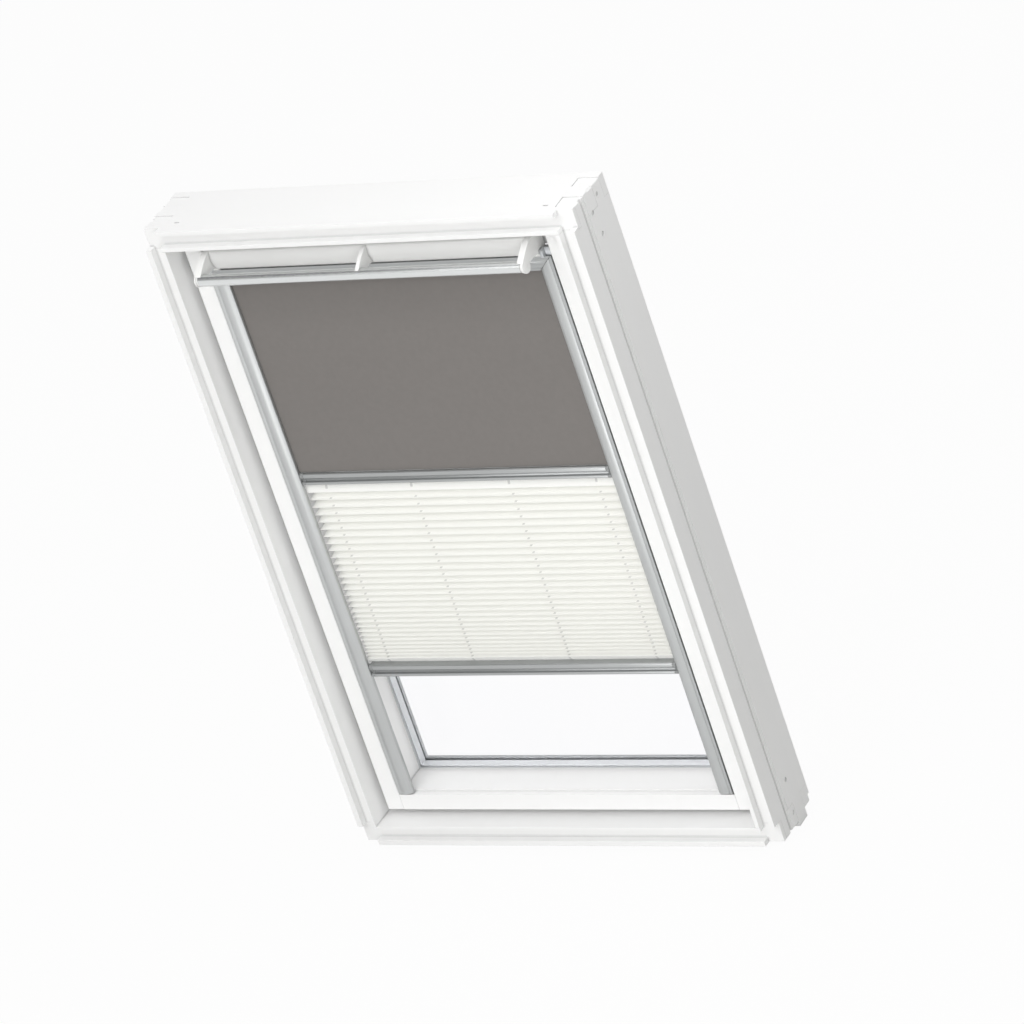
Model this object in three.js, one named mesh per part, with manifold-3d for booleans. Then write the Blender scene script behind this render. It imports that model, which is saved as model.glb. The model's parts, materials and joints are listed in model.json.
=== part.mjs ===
// A roof window with its two-part sash blind: a timber frame with finger-jointed corners, a sash that
// turns about its middle, a double glazed unit, a control bar with its ventilation flap, and a blind
// with a wound blackout cloth above and a pleated cloth below, each carried by its own grip bar.
// Millimetres. X runs across the window and is 0 on its centre line, Z runs up from the frame's
// underside, and Y runs from the room towards the outside: y = 0 is the frame's corner face.
import * as THREE from "three";
import { mergeVertices } from "three/addons/utils/BufferGeometryUtils.js";
import Module from "manifold-3d";

const wasm = await Module();
wasm.setup();

// Driving dimensions of the frame
const frameWidth = 780;
const frameHeight = 1178;
const frameDepth = 111.5;
const jambWidth = 35;
const railHeight = 36;
const mouldingProud = 14.5;

// Clearances and overruns that every piece shares
const seat = 0.3;
const overrun = 40;
const lap = 2;

// Frame mouldings
const jambOuterStrip = 9.5;
const headOuterStrip = 7;
const sillOuterStrip = 9.3;
const innerStrip = 7;
const cornerBlockWidth = 28;
const jambStripLowEnd = 37;
const jambStripHighDrop = 32;

// Frame side groove, cut in two steps
const sideGrooveFront = 24;
const sideGrooveWidth = 7.5;
const sideGrooveDepth = 4;
const sideStepWidth = 7.1;
const sideStepDepth = 0.9;

// Corner finger joints: where the layers end, as shares of the frame's depth
const headFingerShares = [0.08, 0.35, 0.63, 0.865];
const sillFingerShares = [0.08, 0.3, 0.51, 0.78];
const fingerProud = 10;
const fingerShy = 1.5;
const sillBackRise = 6;
const sillRebateDepth = 5.5;
const sillRebateHeight = 17.5;

// Where the frame's top corners are eased, from front to back as shares of the depth
const easedShares = [[0.47, 0.625], [0.71, 0.83]];
const easing = 3;

// Frame fixings: the sunk heads of the corner pins, and the slot of a corner wedge
const pinRecessRadius = 4;
const pinRecessDepth = 2.4;
const pinPlaceShares = [[0.7, 0.983], [0.46, 0.968], [0.53, 0.933], [0.53, 0.0675], [0.46, 0.018]];
const headSlotInset = 54.5;
const headSlotLength = 9;
const headSlotWidth = 3;
const headSlotDepth = 2.5;
const headSlotBack = 15;

// Sash
const sashGap = 11;
const sashBottomGap = 11.7;
const sashTopGap = 12;
const sashFront = 20;
const sashBackProud = 8.5;
const stileFace = 30;
const railFace = 29.3;
const stileStep = 5;
const railStep = 3;
const sashStepDepth = 11;
const glassLegDepth = 28;
const glassLegThick = 11;

// Glazing
const paneThick = 4;
const spacerThick = 15.4;
const spacerBand = 11;
const gasketThick = 3.4;
const gasketBand = 12;
const glassEdgeGap = 0.7;

// Pivot hinges at the middle of the sash
const pivotDepthShare = 0.538;
const pivotPinRadius = 6;
const pivotFit = 0.6;
const pivotPlateThick = 3;
const pivotPlateDepth = 46;
const pivotPlateHeight = 96;
const pivotDiscRadius = 23;
const pivotEndFloat = 1.2;

// Frame seals
const sealThick = 7.2;
const sealDepth = 8;
const sealInset = 15.5;
const sealPivotClear = 62;

// Outside covers
const coverSheet = 1.5;
const coverRise = 6.5;
const frameCoverInset = 7;
const frameCoverBand = 24;
const sashCoverInset = 2;
const sashCoverBand = 33;

// Latch between the sash and the head
const latchCaseWidth = 84;
const latchCaseDepth = 30;
const latchCaseHeight = 22;
const latchCaseWall = 2;
const latchBoltWidth = 24;
const latchBoltDepth = 12;
const latchBoltProud = 3;
const latchTailWidth = 5;
const strikerThick = 3;
const strikerWidth = 60;

// Barrel bolt at the sash's lower right, and its two bushes
const boltRadius = 4;
const boltFit = 0.5;
const boltPlace = 50;
const boltRise = 17;
const boltLength = 30;
const boltTravel = 18;
const boltKnobRadius = 5;
const boltKnobDrop = 1.5;
const bushWall = 2;
const bushLength = 16;
const bushFlange = 3;
const bushFlangeThick = 1.2;

// Blind side rails
const blindSideGap = 2;
const blindFront = 17;
const railLip = 26;
const railLipDepth = 10.3;
const railLipEdge = 5;
const railCrown = 0.55;
const railFlange = 5.5;
const railFlangeDepth = 5.5;
const railWall = 1.6;
const railBackDepth = 38;
const railWebThick = 2.6;
const blindFoot = 2.3;

// Blind casing and roller
const casingHeight = 26;
const casingDrop = 43;
const casingFrontThick = 6.5;
const casingDepth = 37;
const casingSheet = 1.3;
const casingCapThick = 3.2;
const rollerTubeRadius = 8;
const rollerTubeWall = 1.1;
const rollRadius = 11.3;
const rollerPlugLength = 18;
const axleRadius = 3;
const axleFit = 0.4;
const springWall = 1.5;
const springLengthShare = 0.62;

// Cloths
const blackoutThick = 0.5;
const blackoutPlace = 28.5;
const clothPlay = 0.5;
const pleatThick = 0.5;
const pleatFront = 29.6;
const pleatDepth = 19;
const pleatEndGap = 1.3;
const pleatCount = 30;
const pleatFirstShare = 1.2;
const pleatLastShare = 0.7;
const pleatDroopShare = 0.58;
const pleatDroopPower = 1.54;
const pleatSagShare = 0.2;

// Grip bars of the blind
const gripHeight = 21.3;
const gripFront = 22;
const gripDepth = 17;
const gripEndCap = 6;
const gripCapGap = 1.2;
const upperBarShare = 0.6106;
const lowerBarShare = 0.2335;
const glideDepth = 7;
const glideHeight = 15;
const glideReach = 14;

// Control bar, its brackets and the ventilation flap, all turning on one axis
const controlAxisY = 18;
const controlAxisDrop = 36;
const controlPinRadius = 2;
const controlPinFit = 0.4;
const controlBarForward = 33.3;
const controlBarDrop = 31;
const controlBarLongHalf = 11.7;
const controlBarShortHalf = 9.6;
const controlBarWall = 1.6;
const controlEndInset = 15;
const endBracketThick = 11;
const endBracketBack = 34.7;
const endPlateThick = 3;
const endPlateRim = 0.8;
const bracketBossRadius = 6.4;
const middleBracketThick = 6.6;
const bracketBack = 17;
const bracketReach = 60;
const bracketHeight = 41;
const flapHeight = 36.7;
const flapDepth = 16.7;
const flapWall = 2;
const hingeEarThick = 5;
const hingeEarHeight = 14;
const barCapThick = 2.4;

// How far the sash's top rail is cut back behind the flap
const topRailRecess = 18;

// Numbers of facets
const roundSteps = 24;
const smallRoundSteps = 12;

// Finishes seen in the photograph
const finish = (color, roughness, metalness) => ({ color, roughness, metalness });
const whitePaint = finish(0xf4f4f2, 0.45, 0);
const whitePlastic = finish(0xf2f2f0, 0.4, 0);
const satinAluminium = finish(0xc6c8c8, 0.38, 0.85);
const coverAluminium = finish(0x5d6062, 0.5, 0.7);
const zincSteel = finish(0xb4b6b8, 0.4, 0.9);
const glazing = finish(0xe6f0f2, 0.05, 0);
const blackRubber = finish(0x303132, 0.8, 0);
const greyPlastic = finish(0x6a6c6c, 0.55, 0);
const blackoutFabric = finish(0x83807c, 0.85, 0);
const pleatedFabric = finish(0xf1f2ed, 0.8, 0);

// Places worked out from the driving dimensions
const frameHalf = frameWidth / 2;
const revealHalf = frameHalf - jambWidth;
const headReveal = frameHeight - railHeight;
const sashHalf = revealHalf - sashGap;
const sashLow = railHeight + sashBottomGap;
const sashHigh = headReveal - sashTopGap;
const sashBack = frameDepth + sashBackProud;
const stileInner = sashHalf - stileFace;
const openHalf = stileInner - stileStep;
const openLow = sashLow + railFace + railStep;
const openHigh = sashHigh - railFace - railStep;
const liningBack = sashBack - glassLegDepth;
const stepBack = sashFront + sashStepDepth;
const glassHalf = sashHalf - glassLegThick - glassEdgeGap;
const glassLow = sashLow + glassLegThick + glassEdgeGap;
const glassHigh = sashHigh - glassLegThick - glassEdgeGap;
const gasketFront = liningBack + seat;
const innerPaneFront = gasketFront + gasketThick + seat;
const spacerFront = innerPaneFront + paneThick + seat;
const outerPaneFront = spacerFront + spacerThick + seat;
const pivotY = pivotDepthShare * frameDepth;
const pivotZ = frameHeight / 2;
const latchPlace = pivotY - latchCaseDepth / 2;
const blindHalf = stileInner - blindSideGap;
const controlHalf = stileInner - controlEndInset;
const controlAxisZ = sashHigh - controlAxisDrop;
const controlBarZ = sashHigh - controlBarDrop;
const lipInner = blindHalf - railLip;
const lipBack = blindFront + railLipDepth;
const casingTop = sashHigh - casingDrop;
const casingLow = casingTop - casingHeight;
const blindLow = sashLow + railFace + blindFoot;
const upperBarBottom = blindLow + upperBarShare * (casingLow - blindLow);
const lowerBarBottom = blindLow + lowerBarShare * (casingLow - blindLow);
const rollY = blackoutPlace + blackoutThick / 2 + seat + rollRadius;
const rollZ = casingTop - casingSheet - clothPlay - rollRadius;

// Geometry helpers
function slab(x0, x1, y0, y1, z0, z1) {
  const box = new THREE.BoxGeometry(Math.abs(x1 - x0), y1 - y0, z1 - z0);
  return box.translate((x0 + x1) / 2, (y0 + y1) / 2, (z0 + z1) / 2);
}

function outlineShape(points) {
  return new THREE.Shape(points.map(([a, b]) => new THREE.Vector2(a, b)));
}

// An outline drawn in X and Y, run up from z0 to z1
function alongZ(points, z0, z1, holes = []) {
  const shape = outlineShape(points);
  shape.holes = holes.map(outlineShape);
  const body = new THREE.ExtrudeGeometry(shape, { depth: z1 - z0, bevelEnabled: false });
  return body.translate(0, 0, z0);
}

// An outline drawn in Y and Z, run across from x0 to x1
function alongX(points, x0, x1, holes = []) {
  const shape = outlineShape(points);
  shape.holes = holes.map(outlineShape);
  const body = new THREE.ExtrudeGeometry(shape, { depth: x1 - x0, bevelEnabled: false });
  const turn = new THREE.Matrix4().set(0, 0, 1, 0, 1, 0, 0, 0, 0, 1, 0, 0, 0, 0, 0, 1);
  return body.applyMatrix4(turn).translate(x0, 0, 0);
}

// An outline drawn in X and Z, run back from y0 to y1
function alongY(points, y0, y1, holes = []) {
  const shape = outlineShape(points.map(([x, z]) => [z, x]));
  shape.holes = holes.map((hole) => outlineShape(hole.map(([x, z]) => [z, x])));
  const body = new THREE.ExtrudeGeometry(shape, { depth: y1 - y0, bevelEnabled: false });
  const turn = new THREE.Matrix4().set(0, 1, 0, 0, 0, 0, 1, 0, 1, 0, 0, 0, 0, 0, 0, 1);
  return body.applyMatrix4(turn).translate(0, y0, 0);
}

// A round rod along X through (y, z)
function rodX(radius, x0, x1, y, z, steps = roundSteps) {
  const rod = new THREE.CylinderGeometry(radius, radius, x1 - x0, steps);
  return rod.rotateZ(Math.PI / 2).translate((x0 + x1) / 2, y, z);
}

// A round rod along Z through (x, y)
function rodZ(radius, x, y, z0, z1, steps = smallRoundSteps) {
  const rod = new THREE.CylinderGeometry(radius, radius, z1 - z0, steps);
  return rod.rotateX(Math.PI / 2).translate(x, y, (z0 + z1) / 2);
}

// A ring about X: its closed section is drawn in radius and X and turned once round
function turnedX(section, y, z, steps = roundSteps) {
  const closed = [...section, section[0]].map(([r, x]) => new THREE.Vector2(r, x));
  const ring = new THREE.LatheGeometry(closed, steps);
  return ring.rotateZ(-Math.PI / 2).translate(0, y, z);
}

function tubeX(outer, inner, x0, x1, y, z) {
  return turnedX([[inner, x0], [outer, x0], [outer, x1], [inner, x1]], y, z);
}

function solid(geometry) {
  const plain = geometry.index ? geometry.toNonIndexed() : geometry.clone();
  plain.deleteAttribute("normal");
  plain.deleteAttribute("uv");
  const merged = mergeVertices(plain);
  const vertProperties = new Float32Array(merged.attributes.position.array);
  const triVerts = new Uint32Array(merged.index.array);
  return new wasm.Manifold(new wasm.Mesh({ numProp: 3, vertProperties, triVerts }));
}

function shell(body) {
  const mesh = body.getMesh();
  const geometry = new THREE.BufferGeometry();
  geometry.setAttribute("position", new THREE.BufferAttribute(mesh.vertProperties, 3));
  geometry.setIndex(new THREE.BufferAttribute(mesh.triVerts, 1));
  geometry.computeVertexNormals();
  return geometry;
}

function join(...geometries) {
  return shell(geometries.map(solid).reduce((all, next) => all.add(next)));
}

function cut(base, ...tools) {
  return shell(tools.map(solid).reduce((rest, tool) => rest.subtract(tool), solid(base)));
}

function keep(base, room) {
  return shell(solid(base).intersect(solid(room)));
}

// The same piece for the other side of the window
function mirrored(geometry) {
  const flat = geometry.index ? geometry.toNonIndexed() : geometry.clone();
  flat.scale(-1, 1, 1);
  const place = flat.attributes.position;
  for (let i = 0; i < place.count; i += 3) {
    const [x, y, z] = [place.getX(i), place.getY(i), place.getZ(i)];
    place.setXYZ(i, place.getX(i + 1), place.getY(i + 1), place.getZ(i + 1));
    place.setXYZ(i + 1, x, y, z);
  }
  flat.computeVertexNormals();
  return flat;
}

function piece(name, geometry, look, place = [0, 0, 0]) {
  const mesh = new THREE.Mesh(geometry, new THREE.MeshStandardMaterial(look));
  mesh.name = name;
  mesh.position.set(...place);
  return mesh;
}

function assembly(...members) {
  const group = new THREE.Group();
  group.add(...members.flat());
  return group;
}

// Both hands of a piece that is drawn for the right side
function pair(name, geometry, look) {
  return [piece(`${name}_right`, geometry, look), piece(`${name}_left`, mirrored(geometry), look)];
}

// The [front, back] of each corner layer, front to back
function fingerLayers(shares) {
  const cuts = [0, ...shares.map((share) => share * frameDepth), frameDepth];
  return cuts.slice(1).map((back, i) => [cuts[i], back]);
}

// The groove down each side of the frame
function sideGroove() {
  const low = -overrun;
  const high = frameHeight + overrun;
  const stepFront = sideGrooveFront + sideGrooveWidth;
  return [
    slab(frameHalf - sideGrooveDepth, frameHalf + overrun, sideGrooveFront, stepFront, low, high),
    slab(frameHalf - sideStepDepth, frameHalf + overrun, stepFront - lap, stepFront + sideStepWidth, low, high),
  ];
}

// The dimples over the sunk heads of the corner pins
function pinRecesses() {
  return pinPlaceShares.map(([depthShare, heightShare]) => rodX(pinRecessRadius, frameHalf - pinRecessDepth,
    frameHalf + overrun, depthShare * frameDepth, heightShare * frameHeight, smallRoundSteps));
}

// Frame jamb, drawn for the right side, with its fingers at both ends
function jamb() {
  const stripBack = lap;
  const outerFace = frameHalf - jambOuterStrip;
  const stripHigh = frameHeight - jambStripHighDrop;
  const headLow = headReveal - seat;
  const sillHigh = railHeight + seat;
  const fingers = (shares, z0, z1) => fingerLayers(shares)
    .filter((layer, i) => i % 2 === 1)
    .map(([front, back]) => slab(revealHalf, frameHalf, front + seat, back - seat, z0, z1));
  const [frontSillFinger, backSillFinger] = fingers(sillFingerShares, 0, sillHigh + lap);
  const [, lowFinger] = fingers(sillFingerShares, -fingerProud, lap);
  const body = join(
    slab(revealHalf, frameHalf, 0, frameDepth, sillHigh, headLow),
    slab(outerFace, frameHalf, -mouldingProud, stripBack, jambStripLowEnd, headLow),
    slab(revealHalf, revealHalf + innerStrip, -mouldingProud, stripBack, sillHigh, headLow),
    slab(outerFace, frameHalf, -mouldingProud, -seat, jambStripLowEnd, stripHigh),
    ...fingers(headFingerShares, headLow - lap, frameHeight - fingerShy),
    frontSillFinger,
    backSillFinger,
    lowFinger,
  );
  return cut(body, ...sideGroove(), ...pinRecesses(), ...easedCorners());
}

// The holes in the right jamb that take the bolt's bushes
function bushPockets() {
  return bushPlaces().map(([y, z]) => rodX(boltRadius + boltFit + bushWall + seat, revealHalf - overrun / 2,
    revealHalf + bushLength + seat, y, z, smallRoundSteps));
}

// The bolt meets the jamb with the sash closed, and again with the sash turned right over
function bushPlaces() {
  const boltZ = sashLow + boltRise;
  return [[boltPlace, boltZ], [2 * pivotY - boltPlace, 2 * pivotZ - boltZ]];
}

// Head or sill: a beam between the jambs with three fingers at each end
function crossRail(z0, z1, outerLow, outerHigh, innerLow, innerHigh, shares, backRise) {
  const stripHalf = frameHalf - cornerBlockWidth;
  const beamHalf = revealHalf - seat;
  const layers = fingerLayers(shares);
  const fingers = layers.filter((layer, i) => i % 2 === 0).map(([front, back], i) => {
    const low = i === 2 ? z0 + backRise : z0;
    return slab(-frameHalf, frameHalf, front, back, low, z1);
  });
  return join(
    slab(-beamHalf, beamHalf, 0, frameDepth, z0, z1),
    slab(-stripHalf, stripHalf, -mouldingProud, lap, outerLow, outerHigh),
    slab(-stripHalf, stripHalf, -mouldingProud, lap, innerLow, innerHigh),
    ...fingers,
  );
}

// The eased stretches of the head's end, where its top meets the frame's side
function easedCorners() {
  const corner = [
    [frameHalf + lap, frameHeight + lap], [frameHalf - easing, frameHeight + lap],
    [frameHalf - easing, frameHeight], [frameHalf, frameHeight - easing], [frameHalf + lap, frameHeight - easing],
  ];
  return easedShares.map(([front, back]) => alongY(corner, front * frameDepth, back * frameDepth));
}

function mirroredTools(tools) {
  return [...tools, ...tools.map(mirrored)];
}

function head() {
  const beam = crossRail(headReveal, frameHeight, frameHeight - headOuterStrip, frameHeight,
    headReveal, headReveal + innerStrip, headFingerShares, 0);
  const slotX = frameHalf - headSlotInset;
  const slot = slab(slotX - headSlotLength / 2, slotX + headSlotLength / 2, headSlotBack - headSlotWidth / 2,
    headSlotBack + headSlotWidth / 2, frameHeight - headSlotDepth, frameHeight + overrun);
  return cut(beam, ...mirroredTools([...sideGroove(), ...pinRecesses(), ...easedCorners(), slot]));
}

function sill() {
  const beam = crossRail(0, railHeight, 0, sillOuterStrip, railHeight - innerStrip, railHeight,
    sillFingerShares, sillBackRise);
  const rebate = slab(-frameHalf - overrun, frameHalf + overrun, frameDepth - sillRebateDepth,
    frameDepth + overrun, -overrun, sillRebateHeight);
  return cut(beam, rebate, ...mirroredTools([...sideGroove(), ...pinRecesses()]));
}

// Rubber seal in the gap between frame and sash: one U above the pivots and one below
function frameSeal(upper) {
  const outer = revealHalf - seat;
  const inner = outer - sealThick;
  const front = frameDepth - sealInset;
  const back = front + sealDepth;
  const edge = upper ? headReveal - seat : railHeight + seat;
  const band = upper ? edge - sealThick : edge + sealThick;
  const end = upper ? pivotZ + sealPivotClear : pivotZ - sealPivotClear;
  const side = slab(inner, outer, front, back, Math.min(edge, end), Math.max(edge, end));
  const cross = slab(-outer, outer, front, back, Math.min(edge, band), Math.max(edge, band));
  return join(side, mirrored(side), cross);
}

// A folded cover sheet: a web with a leg along each edge, drawn from its inner to its outer edge
function coverOutline(inner, outer, front) {
  const back = front + coverRise;
  return [
    [inner, front], [inner + coverSheet, front], [inner + coverSheet, back - coverSheet],
    [outer - coverSheet, back - coverSheet], [outer - coverSheet, front], [outer, front], [outer, back], [inner, back],
  ];
}

function sideCover(outer, band, front, low, high) {
  return alongZ(coverOutline(outer - band, outer, front), low, high);
}

function crossCover(half, low, high, front) {
  return alongX(coverOutline(low, high, front).map(([z, y]) => [y, z]), -half, half);
}

function frameCovers() {
  const outer = frameHalf - frameCoverInset - coverRise;
  const high = frameHeight - frameCoverInset - coverRise;
  const low = frameCoverInset;
  const front = frameDepth + seat;
  const sideLow = low + frameCoverBand + seat;
  const sideHigh = high - frameCoverBand - seat;
  return [
    ...pair("frame_cover", sideCover(outer, frameCoverBand, front, sideLow, sideHigh), coverAluminium),
    piece("frame_cover_top", crossCover(outer, high - frameCoverBand, high, front), coverAluminium),
    piece("frame_cover_bottom", crossCover(outer, low, low + frameCoverBand, front), coverAluminium),
  ];
}

// Sash stile, drawn for the right side: a stepped front edge, the lining and the leg round the glass
function stile() {
  const outline = [
    [stileInner, sashFront], [sashHalf, sashFront], [sashHalf, sashBack], [sashHalf - glassLegThick, sashBack],
    [sashHalf - glassLegThick, liningBack], [openHalf, liningBack], [openHalf, stepBack], [stileInner, stepBack],
  ];
  return alongZ(outline, sashLow, sashHigh);
}

// The bore and slot of the barrel bolt in the right stile
function boltBore() {
  const boltZ = sashLow + boltRise;
  const inner = sashHalf - boltLength - 3 * seat;
  const bore = rodX(boltRadius + boltFit, inner, sashHalf + overrun, boltPlace, boltZ, smallRoundSteps);
  const knobHalf = boltKnobRadius / 2 + boltFit;
  const knobX = sashHalf - boltLength + boltKnobRadius;
  const slot = slab(knobX - knobHalf, knobX + boltTravel + knobHalf, boltPlace - knobHalf, boltPlace + knobHalf,
    sashLow - overrun, boltZ);
  return [bore, slot];
}

function barrelBolt() {
  const boltZ = sashLow + boltRise;
  const tip = sashHalf - 2 * seat;
  const knobX = sashHalf - boltLength + boltKnobRadius;
  const shank = rodX(boltRadius, tip - boltLength, tip, boltPlace, boltZ, smallRoundSteps);
  const stem = rodZ(boltKnobRadius / 2, knobX, boltPlace, sashLow - boltKnobDrop, boltZ);
  const knob = rodZ(boltKnobRadius, knobX, boltPlace, sashLow - boltKnobDrop - lap, sashLow - boltKnobDrop + seat);
  return join(shank, stem, knob);
}

// A bush in the jamb: a sleeve with a thin flange on the reveal
function boltBush([y, z]) {
  const bore = boltRadius + boltFit;
  const face = revealHalf - seat;
  const flange = bore + bushWall + bushFlange;
  const end = revealHalf + bushLength;
  const section = [
    [bore, face - bushFlangeThick], [flange, face - bushFlangeThick], [flange, face], [bore + bushWall, face],
    [bore + bushWall, end], [bore, end],
  ];
  return turnedX(section, y, z);
}

// Sash rails between the stiles: step, lining and the leg under the glass. The top rail stands back, behind
// the flap
function sashRail(upper) {
  const flip = (z) => (upper ? sashHigh + sashLow - z : z);
  const block = (half, y0, y1, z0, z1) => slab(-half, half, y0, y1, Math.min(flip(z0), flip(z1)),
    Math.max(flip(z0), flip(z1)));
  const legHalf = sashHalf - glassLegThick - seat;
  const body = join(
    block(stileInner - seat, sashFront, stepBack - seat, sashLow, sashLow + railFace),
    block(openHalf - seat, stepBack - lap, liningBack, sashLow, sashLow + railFace),
    block(openHalf - seat, stepBack, liningBack, sashLow, openLow),
    block(openHalf - seat, liningBack - lap, sashBack, sashLow, sashLow + glassLegThick),
    block(legHalf, liningBack + seat, sashBack, sashLow, sashLow + glassLegThick),
  );
  const behindFlap = slab(-sashHalf, sashHalf, -overrun, sashFront + topRailRecess, sashHigh - 2 * railFace,
    sashHigh + overrun);
  return upper ? cut(body, behindFlap) : body;
}

function latchPocket() {
  const half = latchCaseWidth / 2 + seat;
  return slab(-half, half, latchPlace - seat, latchPlace + latchCaseDepth + seat,
    sashHigh - latchCaseHeight - seat, sashHigh + overrun);
}

// Lock case let into the sash's top rail, open upwards round its bolt
function latchCase() {
  const half = latchCaseWidth / 2;
  const low = sashHigh - latchCaseHeight;
  const box = slab(-half, half, latchPlace, latchPlace + latchCaseDepth, low, sashHigh);
  const room = latchBoltWidth / 2 + seat;
  const mid = latchPlace + latchCaseDepth / 2;
  const shaft = slab(-room, room, mid - latchBoltDepth / 2 - seat, mid + latchBoltDepth / 2 + seat,
    low + latchCaseWall, sashHigh + overrun);
  return cut(box, shaft);
}

function latchBolt() {
  const mid = latchPlace + latchCaseDepth / 2;
  const half = latchBoltWidth / 2;
  const low = sashHigh - latchCaseHeight + latchCaseWall + latchBoltTravel() + seat;
  return slab(-half, half, mid - latchBoltDepth / 2, mid + latchBoltDepth / 2, low, sashHigh + latchBoltProud);
}

function latchBoltTravel() {
  return latchBoltProud + lap;
}

function striker() {
  const half = strikerWidth / 2;
  const top = headReveal - seat;
  const mid = latchPlace + latchCaseDepth / 2;
  const slotHalf = latchBoltWidth / 2 + lap / 2;
  const plate = slab(-half, half, latchPlace, latchPlace + latchCaseDepth, top - strikerThick, top);
  const slot = slab(-slotHalf, slotHalf, mid - latchBoltDepth / 2 - lap / 2, mid + latchBoltDepth / 2 + lap / 2,
    top - strikerThick - overrun, top + overrun);
  return cut(plate, slot);
}

// Pivot hinge halves, drawn for the right side
function pivotPin() {
  const face = sashHalf + seat;
  const tip = revealHalf - pivotEndFloat;
  return join(
    rodX(pivotDiscRadius, face, face + pivotPlateThick, pivotY, pivotZ),
    rodX(pivotPinRadius, face + pivotPlateThick / 2, tip, pivotY, pivotZ),
  );
}

function pivotPlate() {
  const back = revealHalf - seat;
  const halfDepth = pivotPlateDepth / 2;
  const halfHeight = pivotPlateHeight / 2;
  const plate = slab(back - pivotPlateThick, back, pivotY - halfDepth, pivotY + halfDepth,
    pivotZ - halfHeight, pivotZ + halfHeight);
  return cut(plate, rodX(pivotPinRadius + pivotFit, back - overrun, back + overrun, pivotY, pivotZ));
}

// A flat rectangular ring in X and Z
function ring(half, low, high, band, y0, y1) {
  const outer = [[-half, low], [half, low], [half, high], [-half, high]];
  const inner = [
    [-half + band, low + band], [-half + band, high - band], [half - band, high - band], [half - band, low + band],
  ];
  return alongY(outer, y0, y1, [inner]);
}

function glazingUnit() {
  const bandHalf = openHalf + gasketBand;
  const innerPane = slab(-glassHalf, glassHalf, innerPaneFront, innerPaneFront + paneThick, glassLow, glassHigh);
  const outerPane = slab(-glassHalf, glassHalf, outerPaneFront, outerPaneFront + paneThick, glassLow, glassHigh);
  const spacerHalf = openHalf + spacerBand;
  const spacer = ring(spacerHalf, openLow - spacerBand, openHigh + spacerBand, spacerBand, spacerFront,
    spacerFront + spacerThick);
  const gasket = ring(bandHalf, openLow - gasketBand, openHigh + gasketBand, gasketBand, gasketFront,
    gasketFront + gasketThick);
  return [
    piece("glass_inner_pane", innerPane, glazing),
    piece("glass_outer_pane", outerPane, glazing),
    piece("glass_spacer", spacer, satinAluminium),
    piece("glazing_gasket", gasket, blackRubber),
  ];
}

function sashCovers() {
  const outer = sashHalf - sashCoverInset;
  const high = sashHigh - sashCoverInset;
  const low = sashLow + sashCoverInset;
  const front = Math.max(sashBack, outerPaneFront + paneThick) + seat;
  const sideLow = low + sashCoverBand + seat;
  const sideHigh = high - sashCoverBand - seat;
  return [
    ...pair("sash_cover", sideCover(outer, sashCoverBand, front, sideLow, sideHigh), coverAluminium),
    piece("sash_cover_top", crossCover(outer, high - sashCoverBand, high, front), coverAluminium),
    piece("sash_cover_bottom", crossCover(outer, low, low + sashCoverBand, front), coverAluminium),
  ];
}

// The front of a side rail's lip, from inside to outside, as shares of the lip's edge behind its crown
const railFaceShares = [1, 0.3, 0, 0.1, 0.4, 0.55, 0.2];

// Blind side rail, drawn for the right side: a hollow crowned lip in front, and a web that runs back
// along the sash lining behind it
function sideRailOutline() {
  const outer = blindHalf;
  const bodyOuter = outer - railFlange;
  const crownX = lipInner + railCrown * (bodyOuter - lipInner);
  const webOuter = openHalf - seat;
  const faceX = [lipInner, (lipInner + crownX) / 2, crownX, (crownX + bodyOuter) / 2, bodyOuter, bodyOuter, outer];
  return [
    [lipInner, lipBack],
    ...railFaceShares.map((share, i) => [faceX[i], blindFront + share * railLipEdge]),
    [outer, blindFront + railFlangeDepth], [webOuter, blindFront + railFlangeDepth],
    [webOuter, blindFront + railBackDepth], [webOuter - railWebThick, blindFront + railBackDepth],
    [webOuter - railWebThick, lipBack],
  ];
}

// The 45 degree cut that a rail and the casing share at the blind's upper corner
function mitreLine() {
  const low = [lipInner - overrun, casingLow - overrun];
  const high = [blindHalf + overrun, casingTop + overrun];
  return { low, high, gap: seat };
}

function sideRail() {
  const body = alongZ(sideRailOutline(), blindLow, casingTop);
  const { low, high, gap } = mitreLine();
  const aboveMitre = [
    [low[0] + gap, low[1]], [high[0] + gap, high[1]], [low[0] - gap, high[1]],
  ];
  const lipCut = alongY(aboveMitre, blindFront - overrun, lipBack + seat);
  const backCut = slab(lipInner - overrun, blindHalf + overrun, blindFront + casingFrontThick - seat, sashBack,
    casingLow - seat, casingTop + overrun);
  const footCut = slab(lipInner - overrun, blindHalf + overrun, stepBack - 2 * seat, sashBack, 0, openLow + seat);
  return cut(body, lipCut, backCut, footCut);
}

// Casing across the top: a banded front, a top and a back round the roll, open below
const casingBandShares = [
  [0.5, 0], [0.15, 0.05], [0.15, 0.16], [0.6, 0.22], [0.6, 0.42], [0, 0.46], [0, 0.6], [0.5, 0.64],
  [0.5, 0.82], [0.15, 0.86], [0.15, 1],
];

function casingOutline() {
  const bandDepth = railLipEdge / 2;
  const frontBack = blindFront + casingFrontThick;
  const back = blindFront + casingDepth;
  const front = casingBandShares.map(([depthShare, heightShare]) => [
    blindFront + depthShare * bandDepth, casingLow + heightShare * casingHeight,
  ]);
  return [
    ...front, [back, casingTop], [back, casingLow + lap], [back - casingSheet, casingLow + lap],
    [back - casingSheet, casingTop - casingSheet], [frontBack, casingTop - casingSheet], [frontBack, casingLow],
  ];
}

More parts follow.
